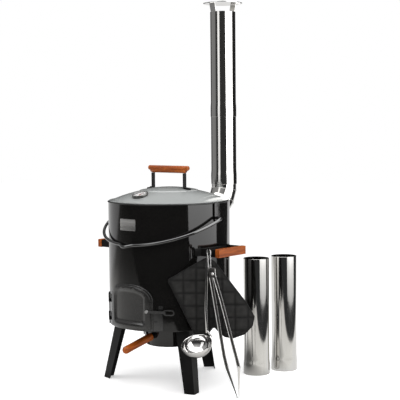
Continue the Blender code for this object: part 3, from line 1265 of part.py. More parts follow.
def make_ladle():
    path = [from_hook(LADLE_LAYER, (along, -down), LADLE_HANDLE_LENGTH)
            for along, down in LADLE_BEND_SHARES]
    handle = add("ladle_handle", swept(path, rectangle(LADLE_STRIP_WIDTH,
                                                       LADLE_STRIP_THICKNESS), (0, 1, 0)),
                 STAINLESS, LADLE, TOOL_TURN)
    half = LADLE_STRIP_THICKNESS / 2
    eye_place = TOOL_TURN @ Matrix.Translation(path[0]) @ Matrix.Rotation(pi / 2, 4, "X")
    fuse(handle, disc(LADLE_EYE_RADIUS, -half, half, 24), eye_place)
    bowl_frame = ladle_bowl_frame()
    level = -LADLE_NECK_DROP
    neck = [path[-1] + Vector((0, 0, LADLE_NECK_REACH)),
            bowl_frame @ rim_side(LADLE_BOWL_RADIUS + LADLE_NECK_REACH, level),
            bowl_frame @ rim_side(LADLE_BOWL_RADIUS + SEAT_GAP, level)]
    across = (neck[1] - neck[0]).cross(neck[2] - neck[1])
    fuse(handle, rod(neck, LADLE_NECK_RADIUS, across, 10), TOOL_TURN)
    cut(handle, disc(HOOK_RADIUS + HANG_GAP, -OVERRUN, OVERRUN, 20), eye_place)
    squash = LADLE_BOWL_DEPTH / LADLE_BOWL_RADIUS
    outer = arc((0, 0), LADLE_BOWL_RADIUS, -pi / 2, 0, 6)
    inner = arc((0, 0), LADLE_BOWL_RADIUS - LADLE_BOWL_WALL, 0, -pi / 2, 6)
    profile = [(radius, height * squash) for radius, height in outer + inner]
    profile[0] = (0, profile[0][1])
    profile[-1] = (0, profile[-1][1])
    add("ladle_bowl", turned(profile, ROUND_SIDES), STAINLESS, LADLE, TOOL_TURN @ bowl_frame)


def channel(width, depth, sheet):
    """A U-shaped section, open toward the front."""
    return [(-width / 2, -depth / 2), (-width / 2, depth / 2), (width / 2, depth / 2),
            (width / 2, -depth / 2), (width / 2 - sheet, -depth / 2),
            (width / 2 - sheet, depth / 2 - sheet), (sheet - width / 2, depth / 2 - sheet),
            (sheet - width / 2, -depth / 2)]


RIVET = from_hook(TONGS_LAYER, TONGS_RIVET_SHARES, TONGS_LENGTH)
TONGS_ARM = joint_empty("tongs_arm_pivot", TOOL_TURN @ RIVET, TONGS)
TONGUE_NEAR = TONGS_WIRE + SEAT_GAP
TONGUE_FAR = TONGUE_NEAR + TONGS_SHEET


def tongs_claw(foot, hand):
    """A claw that tapers from an arm's foot to a narrow tip beside the other claw's."""
    tip = from_hook(TONGS_LAYER, TONGS_TIP_SHARES, TONGS_LENGTH)
    tip.x += hand * TONGS_CLAW_SPREAD
    run = (tip - foot).normalized()
    side = Vector((0, 1, 0)).cross(run)
    root = foot - run * OVERRUN
    corners = (root - side * TONGS_CLAW_WIDTH / 2, root + side * TONGS_CLAW_WIDTH / 2,
               tip + side * TONGS_CLAW_TIP / 2, tip - side * TONGS_CLAW_TIP / 2)
    half = (TONGS_DEPTH - TONGS_SHEET) / 2
    return block([(point.x, point.z) for point in corners], -TONGS_LAYER - half,
                 -TONGS_LAYER + half, "Y")


def tongs_arm(name, shares, hand, parent):
    """A channelled arm: a flat tongue round the rivet at its top, a claw at its foot."""
    across = (0, 1, 0)
    path = [from_hook(TONGS_LAYER, share, TONGS_LENGTH) for share in shares]
    arm = add(name, swept(path, channel(TONGS_WIDTH, TONGS_DEPTH, TONGS_SHEET), across),
              STAINLESS, parent, TOOL_TURN)
    fuse(arm, tongs_claw(path[-1], hand), TOOL_TURN)
    middle = -hand * (TONGUE_NEAR + TONGUE_FAR) / 2
    lift = Vector((0, -middle, 0))
    down = path[0] + (path[1] - path[0]).normalized() * TONGS_DEPTH
    fuse(arm, swept([RIVET + lift, path[0] + lift, down + lift],
                    rectangle(TONGS_WIDTH - TONGS_SHEET, TONGS_SHEET), across), TOOL_TURN)
    rivet_place = TOOL_TURN @ Matrix.Translation(RIVET) @ Matrix.Rotation(pi / 2, 4, "X")
    fuse(arm, disc(TONGS_EYE_RADIUS, middle - TONGS_SHEET / 2, middle + TONGS_SHEET / 2, 20),
         rivet_place)
    cut(arm, disc(TONGS_RIVET_RADIUS + SLIDE_GAP, -OVERRUN, OVERRUN, 20), rivet_place)


def make_tongs():
    tongs_arm("tongs_arm_left", TONGS_LEFT_SHARES, -1, TONGS)
    tongs_arm("tongs_arm_right", TONGS_RIGHT_SHARES, 1, TONGS_ARM)
    rivet_place = TOOL_TURN @ Matrix.Translation(RIVET) @ Matrix.Rotation(pi / 2, 4, "X")
    near = TONGUE_FAR + SEAT_GAP
    far = near + TONGS_RIVET_HEAD
    pin = [(0, -far), (TONGS_RIVET_HEAD_RADIUS, -far), (TONGS_RIVET_HEAD_RADIUS, -near),
           (TONGS_RIVET_RADIUS, -near), (TONGS_RIVET_RADIUS, near),
           (TONGS_RIVET_HEAD_RADIUS, near), (TONGS_RIVET_HEAD_RADIUS, far), (0, far)]
    add("tongs_pin", turned(pin, 20), BRIGHT_STEEL, TONGS, rivet_place)
    hang = from_hook(TONGS_LAYER, (0, 0), TONGS_LENGTH)
    half_width = HOOK_RADIUS + HANG_GAP + TONGS_WIRE
    add("tongs_loop", closed_rod(long_loop(hang, RIVET, half_width), TONGS_WIRE, (0, 1, 0), 8),
        STAINLESS, TONGS, TOOL_TURN)


def make_spare_pipes():
    for number, (side, back) in enumerate(SPARE_PIPE_PLACES, 1):
        lift = joint_empty(f"spare_pipe_{number}_lift", (side, back, 0), STOVE)
        add(f"spare_pipe_{number}", socket_pipe(0, SPARE_PIPE_LENGTH), STAINLESS, lift,
            shift(side, back, 0))


def stand_on_origin():
    """Move the stove so that the bottom centre of its bounding box is the origin."""
    bpy.context.view_layer.update()
    depsgraph = bpy.context.evaluated_depsgraph_get()
    corners = []
    for piece in bpy.data.objects:
        if piece.type == "MESH" and not piece.hide_render:
            shape = piece.evaluated_get(depsgraph)
            corners += [shape.matrix_world @ vert.co for vert in shape.data.vertices]
    low = [min(corner[axis] for corner in corners) for axis in range(3)]
    high = [max(corner[axis] for corner in corners) for axis in range(3)]
    STOVE.location = (-(low[0] + high[0]) / 2, -(low[1] + high[1]) / 2, -low[2])
    bpy.context.view_layer.update()
    size = ", ".join(f"{b - a:.4f}" for a, b in zip(low, high))
    print(f"Stove axis at {STOVE.location.x:.5f}, {STOVE.location.y:.5f}; size {size}")


make_drum()
make_grate()
make_door_frame()
make_name_plate()
make_hinge()
make_door()
make_latch()
make_keeper()
make_flue()
make_cap()
make_legs()
make_pan()
make_rails()
make_carrying_handles()
make_pot()
make_bail()
make_lid()
make_lid_handle()
make_gauge()
make_hook()
make_mitts()
make_ladle()
make_tongs()
make_spare_pipes()
stand_on_origin()
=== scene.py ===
"""Looks of the outdoor cauldron stove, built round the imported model.

Pieces are modelled in the stove's own coordinates: its axis is X = Y = 0, the floor is Z = 0,
the fire door is toward -Y and the flue toward +Y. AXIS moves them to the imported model's frame.
"""
from math import acos, atan2, cos, exp, pi, radians, sin, sqrt, tan

import bmesh
import bpy
from mathutils import Matrix, Vector, noise


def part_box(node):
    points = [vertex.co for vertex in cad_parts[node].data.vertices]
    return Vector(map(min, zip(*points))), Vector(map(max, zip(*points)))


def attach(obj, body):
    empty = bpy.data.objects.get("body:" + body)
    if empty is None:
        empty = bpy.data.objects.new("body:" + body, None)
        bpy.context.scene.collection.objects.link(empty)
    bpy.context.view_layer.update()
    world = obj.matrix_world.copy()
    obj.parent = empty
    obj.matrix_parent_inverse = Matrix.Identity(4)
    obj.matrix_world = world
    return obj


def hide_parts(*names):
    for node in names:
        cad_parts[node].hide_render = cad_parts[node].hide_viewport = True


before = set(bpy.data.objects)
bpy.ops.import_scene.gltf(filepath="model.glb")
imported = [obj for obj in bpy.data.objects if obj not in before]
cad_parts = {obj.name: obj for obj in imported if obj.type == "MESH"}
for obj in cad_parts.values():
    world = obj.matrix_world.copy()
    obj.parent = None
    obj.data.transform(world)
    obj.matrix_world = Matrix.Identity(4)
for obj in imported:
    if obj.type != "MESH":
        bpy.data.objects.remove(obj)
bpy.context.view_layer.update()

IDENTITY = Matrix.Identity(4)
SHELL_LOW, SHELL_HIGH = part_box("stove_shell")
AXIS = Matrix.Translation(((SHELL_LOW.x + SHELL_HIGH.x) / 2, (SHELL_LOW.y + SHELL_HIGH.y) / 2, 0))

GAP = 0.0003
FINE = 160
MEDIUM = 96
SMALL = 32


# Shapes

def arc(centre, radius, first, last, steps):
    return [(centre[0] + radius * cos(first + (last - first) * k / steps),
             centre[1] + radius * sin(first + (last - first) * k / steps))
            for k in range(steps + 1)]


def circle(radius, sides):
    return arc((0, 0), radius, 0, 2 * pi, sides)[:-1]


def rounded(points, radius, steps=4):
    """Round every corner of an outline with an arc of the given radius."""
    outline = []
    count = len(points)
    for index, point in enumerate(points):
        corner = Vector(point)
        before = Vector(points[index - 1]) - corner
        after = Vector(points[(index + 1) % count]) - corner
        half_turn = before.angle(after) / 2
        reach = min(radius / tan(half_turn), before.length / 2, after.length / 2)
        inner = corner + (before.normalized() + after.normalized()).normalized() * (
            reach / cos(half_turn))
        start = corner + before.normalized() * reach - inner
        end = corner + after.normalized() * reach - inner
        turn = start.angle_signed(end)
        for k in range(steps + 1):
            outline.append(inner + Matrix.Rotation(-turn * k / steps, 2) @ start)
    return outline


def rounded_box(left, right, low, high, radius, steps=4):
    return rounded([(left, low), (right, low), (right, high), (left, high)], radius, steps)


def oriented(mesh):
    bmesh.ops.recalc_face_normals(mesh, faces=mesh.faces)
    return mesh


def ring_solid(rings, closed=False, mesh=None):
    """Bridge rings of equal length; the ends are capped, or joined to each other if closed."""
    if mesh is None:
        mesh = bmesh.new()
    loops = [[mesh.verts.new(point) for point in ring] for ring in rings]
    pairs = list(zip(loops, loops[1:]))
    if closed:
        pairs.append((loops[-1], loops[0]))
    else:
        mesh.faces.new(loops[0])
        mesh.faces.new(loops[-1])
    for near, far in pairs:
        for index in range(len(near)):
            after = (index + 1) % len(near)
            mesh.faces.new((near[index], near[after], far[after], far[index]))
    return oriented(mesh)


def block(outline, low, high, axis="Z", mesh=None):
    lay = {"X": lambda a, b, depth: (depth, a, b),
           "Y": lambda a, b, depth: (a, depth, b),
           "Z": lambda a, b, depth: (a, b, depth)}[axis]
    return ring_solid([[lay(a, b, depth) for a, b in outline] for depth in (low, high)],
                      mesh=mesh)


def swept_rings(path, section, binormal):
    across = Vector(binormal).normalized()
    points = [Vector(point) for point in path]
    runs = [(b - a).normalized() for a, b in zip(points, points[1:])]
    rings = []
    for index, point in enumerate(points):
        before = runs[max(index - 1, 0)]
        after = runs[min(index, len(runs) - 1)]
        ahead = (before + after).normalized()
        side = across.cross(ahead)
        stretch = 1 / ahead.dot(after)
        rings.append([point + side * (a * stretch) + across * b for a, b in section])
    return rings


def rod(path, radius, binormal, sides=16):
    return ring_solid(swept_rings(path, circle(radius, sides), binormal))


def closed_rod(path, section, binormal):
    rings = swept_rings([path[-1]] + path + [path[0]], section, binormal)
    return ring_solid(rings[1:-1], closed=True)


def turned(profile, sides):
    """Turn a profile of (radius, height) points; one that starts on the axis also ends there."""
    mesh = bmesh.new()
    verts = [mesh.verts.new((radius, 0, height)) for radius, height in profile]
    edges = [mesh.edges.new(pair) for pair in zip(verts, verts[1:])]
    if profile[0][0] > 0:
        edges.append(mesh.edges.new((verts[-1], verts[0])))
    bmesh.ops.spin(mesh, geom=verts + edges, cent=(0, 0, 0), axis=(0, 0, 1), angle=2 * pi,
                   steps=sides, use_merge=True, use_duplicate=False)
    bmesh.ops.remove_doubles(mesh, verts=mesh.verts, dist=1e-6)
    return oriented(mesh)


def split(mesh, point, normal):
    """Split the faces that a plane meets."""
    bmesh.ops.bisect_plane(mesh, geom=mesh.verts[:] + mesh.edges[:] + mesh.faces[:], dist=1e-6,
                           plane_co=point, plane_no=normal)


def wrap(mesh, radius, step=radians(1.5)):
    """Bend a plate drawn flat, as (arc length, depth, height), round the stove's axis."""
    reach = max(abs(vert.co.x) for vert in mesh.verts)
    count = int(reach / (step * radius))
    for index in range(-count, count + 1):
        split(mesh, (index * step * radius, 0, 0), (1, 0, 0))
    bmesh.ops.triangulate(mesh, faces=[face for face in mesh.faces if len(face.verts) > 4])
    for vert in mesh.verts:
        angle = vert.co.x / radius
        distance = radius + vert.co.y
        vert.co = (distance * sin(angle), -distance * cos(angle), vert.co.z)
    return oriented(mesh)


def turn_z(angle):
    return Matrix.Rotation(angle, 4, "Z")


def shift(x, y, z):
    return Matrix.Translation((x, y, z))


# Pieces

def add_object(name, data):
    made = bpy.data.objects.new(name, data)
    bpy.context.scene.collection.objects.link(made)
    return made


def mesh_object(name, mesh, place):
    """An object from a bmesh in the stove's coordinates."""
    mesh.transform(AXIS @ place)
    data = bpy.data.meshes.new(name)
    mesh.to_mesh(data)
    mesh.free()
    return add_object(name, data)


def piece(name, mesh, look, body, node=None, place=IDENTITY, sharp=40):
    """A shown piece riding on a body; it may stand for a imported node."""
    if mesh.calc_volume(signed=True) < 0:
        bmesh.ops.reverse_faces(mesh, faces=mesh.faces)
    made = mesh_object(name, mesh, place)
    made.data.shade_smooth()
    made.data.set_sharp_from_angle(angle=radians(sharp))
    made.data.materials.append(look)
    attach(made, body)
    if node:
        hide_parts(node)
    return made


def cut(target, mesh, place=IDENTITY):
    """Cut a shape from a piece, and keep only the result."""
    cutter = mesh_object("cutter", mesh, place)
    modifier = target.modifiers.new("cut", "BOOLEAN")
    modifier.operation = "DIFFERENCE"
    modifier.solver = "EXACT"
    modifier.object = cutter
    graph = bpy.context.evaluated_depsgraph_get()
    result = bpy.data.meshes.new_from_object(target.evaluated_get(graph))
    target.modifiers.clear()
    target.data = result
    bpy.data.objects.remove(cutter, do_unlink=True)


def bevel(target, width, segments=2, angle=35):
    modifier = target.modifiers.new("edges", "BEVEL")
    modifier.width = width
    modifier.segments = segments
    modifier.limit_method = "ANGLE"
    modifier.angle_limit = radians(angle)
    modifier.harden_normals = True


def dress(names, look, width=0.0, segments=2):
    """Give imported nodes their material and, where a width is given, eased edges."""
    for name in names.split():
        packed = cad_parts[name]
        packed.data.materials.clear()
        packed.data.materials.append(look)
        if width:
            bevel(packed, width, segments)


# Shader nodes

def node(tree, kind, *feeds, **settings):
    """A node; feeds go to its inputs in turn, settings to its attributes and named inputs."""
    made = tree.nodes.new(kind)
    named = []
    for key, value in settings.items():
        name = key.replace("_", " ")
        if name in made.inputs:
            named.append((name, value))
        else:
            setattr(made, key, value)
    for place, value in [*enumerate(feeds), *named]:
        if isinstance(value, bpy.types.NodeSocket):
            tree.links.new(value, made.inputs[place])
        elif value is not None:
            made.inputs[place].default_value = value
    return made


def coordinates(tree, stretch=(1, 1, 1), turn=(0, 0, 0)):
    place = tree.nodes.new("ShaderNodeTexCoord").outputs["Object"]
    return node(tree, "ShaderNodeMapping", Scale=stretch, Rotation=turn,
                Vector=place).outputs["Vector"]


def noise_texture(tree, vector, scale, detail=3.0, roughness=0.5):
    return node(tree, "ShaderNodeTexNoise", Scale=scale, Detail=detail, Roughness=roughness,
                Vector=vector).outputs["Fac"]


def ramp(tree, value, stops):
    """Colours by place; a plain number is a gray."""
    made = node(tree, "ShaderNodeValToRGB", Fac=value)
    elements = made.color_ramp.elements
    while len(elements) < len(stops):
        elements.new(0.5)
    for element, (place, color) in zip(elements, stops):
        element.position = place
        element.color = (*color, 1) if isinstance(color, tuple) else (color, color, color, 1)
    return made.outputs["Color"]


def spread(tree, value, low, high, first=0.0, last=1.0):
    """Map the range from first to last onto the range from low to high."""
    return node(tree, "ShaderNodeMapRange", Value=value, From_Min=first, From_Max=last,
                To_Min=low, To_Max=high).outputs["Result"]


def mixed(tree, factor, first, second, blend="MIX", clamp=False):
    """Two colours mixed; the node takes colours at its inputs 6 and 7."""
    return node(tree, "ShaderNodeMix", factor, *[None] * 5, first, second, data_type="RGBA",
                blend_type=blend, clamp_result=clamp).outputs[2]


def measured(tree, operation, vector, other):
    """A vector's dot product with another, or its distance from it."""
    return node(tree, "ShaderNodeVectorMath", vector, other, operation=operation).outputs["Value"]


def combined(tree, operation, first, second):
    return node(tree, "ShaderNodeMath", first, second, operation=operation).outputs[0]


def either(tree, factor, first, second):
    """One shader or another, by a factor."""
    return node(tree, "ShaderNodeMixShader", factor, first, second).outputs[0]


def bump(tree, shader, height, distance, strength=1.0, below=None):
    made = node(tree, "ShaderNodeBump", Strength=strength, Distance=distance, Height=height)
    if below:
        tree.links.new(below, made.inputs["Normal"])
    tree.links.new(made.outputs["Normal"], shader.inputs["Normal"])
    return made.outputs["Normal"]


# Materials

def look(name, color, roughness, metallic=0.0, **values):
    """A new Principled material with its tree, ready for procedural detail."""
    material = bpy.data.materials.new(name)
    material.use_nodes = True
    tree = material.node_tree
    shader = tree.nodes["Principled BSDF"]
    values.update(Base_Color=(*color, 1), Roughness=roughness, Metallic=metallic)
    for key, value in values.items():
        shader.inputs[key.replace("_", " ")].default_value = value
    material.diffuse_color = (*color, 1)
    return material, tree, shader


def vary(tree, shader, texture, color, low, high, gloss):
    """Let a texture vary the colour, by (place, factor) at each end, and the roughness."""
    stops = [(place, tuple(min(1, c * factor) for c in color)) for place, factor in (low, high)]
    tree.links.new(ramp(tree, texture, stops), shader.inputs["Base Color"])
    tree.links.new(spread(tree, texture, *gloss), shader.inputs["Roughness"])


def make_enamel(name, color, roughness, mottle, **values):
    """Glassy enamel: a little orange peel, and faint clouding in its gloss."""
    made, tree, shader = look(name, color, roughness, **values)
    place = coordinates(tree)
    vary(tree, shader, noise_texture(tree, place, 14, 4), color, (0.3, 1 - mottle),
         (0.7, 1 + mottle), (roughness * 0.8, roughness * 1.5, 0.35, 0.65))
    bump(tree, shader, noise_texture(tree, place, 90, 2), 0.00006, 0.5)
    return made


def make_satin(name, color, roughness, gloss):
    """Heat-proof satin paint with a fine grain and rubbed patches."""
    made, tree, shader = look(name, color, roughness, Specular_IOR_Level=gloss)
    place = coordinates(tree)
    vary(tree, shader, noise_texture(tree, place, 26, 5, 0.6), color, (0.35, 0.8), (0.72, 1.35),
         (roughness * 0.75, roughness * 1.3, 0.3, 0.7))
    bump(tree, shader, noise_texture(tree, place, 900, 2), 0.00005, 0.35)
    return made


def make_steel(name, color, roughness, stretch, tooth=0.00002):
    """Rolled sheet: streaks run along the stretch, and the gloss varies between them."""
    made, tree, shader = look(name, color, roughness, 1.0)
    streak = noise_texture(tree, coordinates(tree, stretch), 60, 4, 0.65)
    vary(tree, shader, streak, color, (0.25, 0.93), (0.75, 1.05),
         (roughness * 0.7, roughness * 1.5, 0.3, 0.7))
    bump(tree, shader, streak, tooth, 0.5)
    return made


def make_wood(name, along):
    """Oiled red-brown hardwood: rings and pores drawn out along the grain."""
    made, tree, shader = look(name, (0.32, 0.09, 0.03), 0.36, Coat_Weight=0.10,
                              Coat_Roughness=0.18, Specular_IOR_Level=0.22)
    place = coordinates(tree, [0.09 if axis == along else 1.0 for axis in range(3)])
    rings = noise_texture(tree, place, 95, 6, 0.62)
    pores = noise_texture(tree, place, 520, 3, 0.7)
    tint = ramp(tree, rings, ((0.22, (0.11, 0.020, 0.003)), (0.42, (0.26, 0.055, 0.007)),
                              (0.58, (0.42, 0.100, 0.012)), (0.80, (0.56, 0.165, 0.026))))
    dark = ramp(tree, pores, ((0.34, 0.5), (0.48, 1.0)))
    tree.links.new(mixed(tree, 0.55, tint, dark, "MULTIPLY"), shader.inputs["Base Color"])
    tree.links.new(spread(tree, pores, 0.46, 0.30, 0.3, 0.6), shader.inputs["Roughness"])
    bump(tree, shader, pores, 0.00008, 0.4)
    return made


def make_cloth():
    """Black cotton with a fine plain weave and a nap; painted shade darkens it along the sewn
    lines and toward the rolled edges.
    """
    made, tree, shader = look("black_cotton", (0.016, 0.016, 0.017), 0.9, Sheen_Weight=0.16,
                              Sheen_Roughness=0.45, Sheen_Tint=(0.30, 0.30, 0.31, 1),
                              Specular_IOR_Level=0.25)
    place = coordinates(tree, turn=(0, 0, -TOOL_AZIMUTH))
    warp, weft = (node(tree, "ShaderNodeTexWave", Scale=330.0, Distortion=0.6, Detail=1.0,
                       wave_type="BANDS", bands_direction=direction, Vector=place).outputs["Fac"]
                  for direction in ("X", "Z"))
    cloud = noise_texture(tree, place, 45, 4)
    tint = ramp(tree, cloud, ((0.3, (0.012, 0.0116, 0.011)), (0.7, (0.024, 0.0235, 0.0225))))
    # painted shade: the puff layer, low at the seams and edges, darkens the colour to three tenths
    # there; the binding and loops, which lack it, take that darkest tone
    puffed = node(tree, "ShaderNodeAttribute", attribute_name="puff").outputs["Fac"]
    shade = ramp(tree, puffed, ((0.0, 0.30), (0.55, 0.55), (1.0, 1.0)))
    tree.links.new(mixed(tree, 1.0, tint, shade, "MULTIPLY"), shader.inputs["Base Color"])
    crumple = bump(tree, shader, noise_texture(tree, place, 120, 3), 0.0008, 0.4)
    bump(tree, shader, combined(tree, "MULTIPLY", warp, weft), 0.0003, 0.5, crumple)
    return made


def make_cast_iron():
    made, tree, shader = look("cast_iron", (0.05, 0.05, 0.052), 0.62, 0.6)
    grain = noise_texture(tree, coordinates(tree), 260, 4, 0.7)
    tree.links.new(ramp(tree, grain, ((0.3, 0.03), (0.75, 0.085))),
                   shader.inputs["Base Color"])
    bump(tree, shader, grain, 0.0005, 0.6)
    return made


def make_glass():
    """Clear gauge glass that lets light through to the dial."""
    made, tree, shader = look("gauge_glass", (1, 1, 1), 0.02, Transmission_Weight=1.0, IOR=1.45,
                              Specular_IOR_Level=0.1)
    path = tree.nodes.new("ShaderNodeLightPath")
    clear = tree.nodes.new("ShaderNodeBsdfTransparent")
    seen = either(tree, path.outputs["Is Shadow Ray"], shader.outputs[0], clear.outputs[0])
    tree.links.new(seen, tree.nodes["Material Output"].inputs["Surface"])
    return made


TOOL_AZIMUTH = radians(39)
ENAMEL = make_enamel("black_enamel", (0.0054, 0.0051, 0.0048), 0.050, 0.15)
WIRE_ENAMEL = make_enamel("wire_enamel", (0.0035, 0.0035, 0.0035), 0.08, 0.15, IOR=1.95)
LID_ENAMEL = make_enamel("grey_enamel", (0.36, 0.375, 0.37), 0.10, 0.04)
SATIN = make_satin("black_satin", (0.0046, 0.0045, 0.0044), 0.34, 0.17)
DOOR_PAINT = make_satin("door_satin", (0.017, 0.0165, 0.016), 0.15, 0.62)
LATCH_STEEL = make_satin("latch_steel", (0.010, 0.010, 0.010), 0.14, 1.0)
# painted shade: a darkened copy of the tools' steel, put on the tongs' inner channel and on the
# left claw
SHADED_STEEL = look("shaded_steel", (0.055, 0.053, 0.050), 0.42, 0.5)[0]
STAINLESS = make_steel("stainless_pipe", (0.64, 0.63, 0.61), 0.070, (1, 1, 0.03), 0.000005)
POLISHED = make_steel("stainless_tool", (0.72, 0.71, 0.70), 0.10, (1, 1, 0.06))
# painted shade: a darker copy of the lip steel for the tongs' b lips, whose a lips take the
# lighter LIP_STEEL
LIP_SHADE_STEEL = make_steel("lip_painted_shade", (0.30, 0.295, 0.29), 0.28, (1, 1, 1), 0.00003)
LIP_STEEL = make_steel("bright_edge", (0.80, 0.79, 0.78), 0.26, (1, 1, 0.1))
HEAD_STEEL = make_steel("pressed_head", (0.16, 0.155, 0.15), 0.30, (1, 1, 1))
ZINC = make_steel("zinc_steel", (0.58, 0.58, 0.58), 0.24, (1, 1, 1), 0.00006)
PLATE_STEEL = make_steel("plate_steel", (0.74, 0.73, 0.72), 0.26, (0.04, 0.04, 1))
CAST_IRON = make_cast_iron()
WOOD_X = make_wood("hardwood_x", 0)
WOOD_Y = make_wood("hardwood_y", 1)
CLOTH = make_cloth()
GLASS = make_glass()
DIAL = look("dial_white", (0.60, 0.60, 0.59), 0.5, Specular_IOR_Level=0.1)[0]
INK = look("dial_ink", (0.02, 0.02, 0.022), 0.5)[0]
RED = look("needle_red", (0.34, 0.02, 0.015), 0.35)[0]


# Fire drum

BODY_RADIUS = 0.180
PLATE_RADIUS = BODY_RADIUS + GAP
BODY_BOTTOM = 0.1774
BODY_TOP = 0.5356
SHELL_WALL = 0.0016
FLUE_HEIGHT = 0.491
FLUE_HOLE_RADIUS = 0.036

# Arched outlines: half width, bottom, spring line and top
DOOR_OPENING = (0.065, 0.193, 0.270, 0.2975)
FRAME_OUTLINE = (0.082, 0.1790, 0.262, 0.310)
LEAF_OUTLINE = (0.0775, 0.1835, 0.262, 0.3055)
FIELD_OUTLINE = (0.0510, 0.2060, 0.270, 0.2855)


def arch(half_width, bottom, spring, top, margin=0.0, corner=0.006, steps=28):
    """An arched door outline with a flat foot, as (side, height) pairs; margin grows it."""
    wide = half_width + margin
    low = bottom - margin
    rise = top + margin - spring
    outline = arc((-wide + corner, low + corner), corner, -pi, -pi / 2, 5)
    outline += arc((wide - corner, low + corner), corner, -pi / 2, 0, 5)
    for k in range(steps + 1):
        side = cos(pi * k / steps)
        outline.append((wide * side, spring + rise * sqrt(1 - abs(side) ** 2.6)))
    return outline


def layered(layers):
    """Rings from (outline, depth) pairs, for a plate drawn flat."""
    return [[(side, depth, height) for side, height in outline] for outline, depth in layers]


def make_drum():
    lip, wide, low, high = 0.0012, BODY_RADIUS, BODY_BOTTOM, BODY_TOP
    profile = [(wide, low + lip), (wide, low + 2 * lip), (wide, high - lip), (wide, high),
               (wide - SHELL_WALL, high), (wide - SHELL_WALL, low), (wide - lip / 2, low),
               (wide - lip / 6, low + lip / 3)]
    shell = piece("drum_shell", turned(profile, FINE), ENAMEL, "stove_body", "stove_shell")
    past = wide + 0.01
    cut(shell, block(arch(*DOOR_OPENING), -past, -wide / 2, "Y"))
    cut(shell, block(circle(FLUE_HOLE_RADIUS, 64), wide / 2, past),
        turn_z(pi) @ shift(0, 0, FLUE_HEIGHT) @ Matrix.Rotation(pi / 2, 4, "X"))
    shell.data.set_sharp_from_angle(angle=radians(30))


def make_frame():
    """The door's frame, a flat arched plate with eased edges."""
    ease, thick = 0.0008, 0.003
    outer, eased, inner = arch(*FRAME_OUTLINE), arch(*FRAME_OUTLINE, -ease), arch(*DOOR_OPENING)
    rings = layered(((outer, 0), (outer, thick - ease), (eased, thick), (inner, thick),
                     (inner, 0)))
    piece("door_surround", wrap(ring_solid(rings, closed=True), PLATE_RADIUS), DOOR_PAINT,
          "stove_body", "door_frame", sharp=50)


def make_name_plate():
    """A bare plate without any lettering."""
    half, low, high, thick = 0.0295, 0.4623, 0.4955, 0.0008
    outline = rounded_box(-half, half, low, high, 0.002)
    piece("bare_plate", wrap(block(outline, 0, thick, "Y"), PLATE_RADIUS), PLATE_STEEL,
          "stove_body", "name_plate")


LEAF_RADIUS = PLATE_RADIUS + 0.004
LEAF_THICKNESS = 0.0025
HINGE_AZIMUTH = -0.0997 / LEAF_RADIUS
HINGE_RADIUS = 0.1855
HINGE_PLACE = (sin(HINGE_AZIMUTH) * HINGE_RADIUS, -cos(HINGE_AZIMUTH) * HINGE_RADIUS, 0)
EYE_HEIGHT = 0.0125


def make_door():
    """The pressed leaf: a border, a rounded step and a sunken field."""
    depth, slope, steps = 0.0056, 0.0092, 12
    edge, ease = 0.0007, 0.0008
    border = arch(*LEAF_OUTLINE)
    front = [(border, -ease), (arch(*LEAF_OUTLINE, -edge), 0.0)]
    step_rings = [(arch(*FIELD_OUTLINE, slope * (1 - share)), -depth * sin(pi / 2 * share))
                  for share in (k / steps for k in range(steps + 1))]
    outside = [(ring, LEAF_THICKNESS + sink) for ring, sink in front + step_rings]
    inside = step_rings[::-1] + [(border, 0.0)]
    piece("door_leaf", wrap(ring_solid(layered(inside + outside)), LEAF_RADIUS), DOOR_PAINT,
          "door_body", "door_panel", sharp=60)
    hinge_arc = HINGE_AZIMUTH * LEAF_RADIUS
    strap_end = 0.006 - LEAF_OUTLINE[0]
    outer, bore = 0.0035, 0.0022
    for index, bottom in enumerate((0.2464, 0.1935), 1):
        low = bottom + EYE_HEIGHT + GAP
        high = low + EYE_HEIGHT
        strap = rounded_box(hinge_arc, strap_end, low, high, 0.0006, 2)
        plate = wrap(block(strap, 0, LEAF_THICKNESS, "Y"), LEAF_RADIUS)
        bevel(piece(f"door_strap_{index}", plate, SATIN, "door_body"), 0.0004)
        eye = turned([(outer, low), (outer, high), (bore, high), (bore, low)], SMALL)
        piece(f"door_eye_{index}", eye, SATIN, "door_body", place=shift(*HINGE_PLACE))


# Flue

PIPE_RADIUS = 0.0392
PIPE_WALL = 0.0008
SOCKET_BORE = PIPE_RADIUS + GAP
FLUE_BACK = 0.2635
ELBOW_TOP = 0.5740
LOWER_PIPE_TOP = 0.8100
UPPER_PIPE_BOTTOM = 0.7854
UPPER_PIPE_TOP = 1.111
SEAM_START = 0.052
SPARE_PIPE_LENGTH = 0.3548
SPARE_PIPE_PLACES = ((0.1583, 0.2188), (0.1934, 0.3149))
CAP_RADIUS = 0.061
CAP_RIM_HEIGHT = 1.1372
CAP_RISE = 0.008
CAP_SHEET = 0.0008


def socket_pipe(low, high):
    """A thin pipe: its foot is widened by a gentle neck to slip over the pipe below."""
    ease = 0.0003
    neck = low + 0.025
    length = 0.024
    wide = SOCKET_BORE + PIPE_WALL
    blend = [(0.5 - 0.5 * cos(pi * k / 8), neck + length * k / 8) for k in range(9)]
    outside = [(wide + (PIPE_RADIUS - wide) * share, height) for share, height in blend]
    inside = [(radius - PIPE_WALL, height) for radius, height in outside]
    profile = ([(wide - ease, low), (wide, low + ease)] + outside
               + [(PIPE_RADIUS, high - ease), (PIPE_RADIUS - ease, high),
                  (PIPE_RADIUS - PIPE_WALL, high)] + inside[::-1] + [(SOCKET_BORE, low)])
    return turned(profile, MEDIUM)


def lock_seam(name, low, high, degrees, place, body="stove_body"):
    """The folded seam that runs down a rolled sheet pipe."""
    half, rise = 0.0030, 0.0005
    outline = [(-half, 0), (-half + rise, rise), (half - rise, rise), (half, 0)]
    rings = [[(side, -PIPE_RADIUS - up, height) for side, up in outline] for height in (low, high)]
    piece(name, ring_solid(rings), STAINLESS, body, place=place @ turn_z(radians(degrees)))


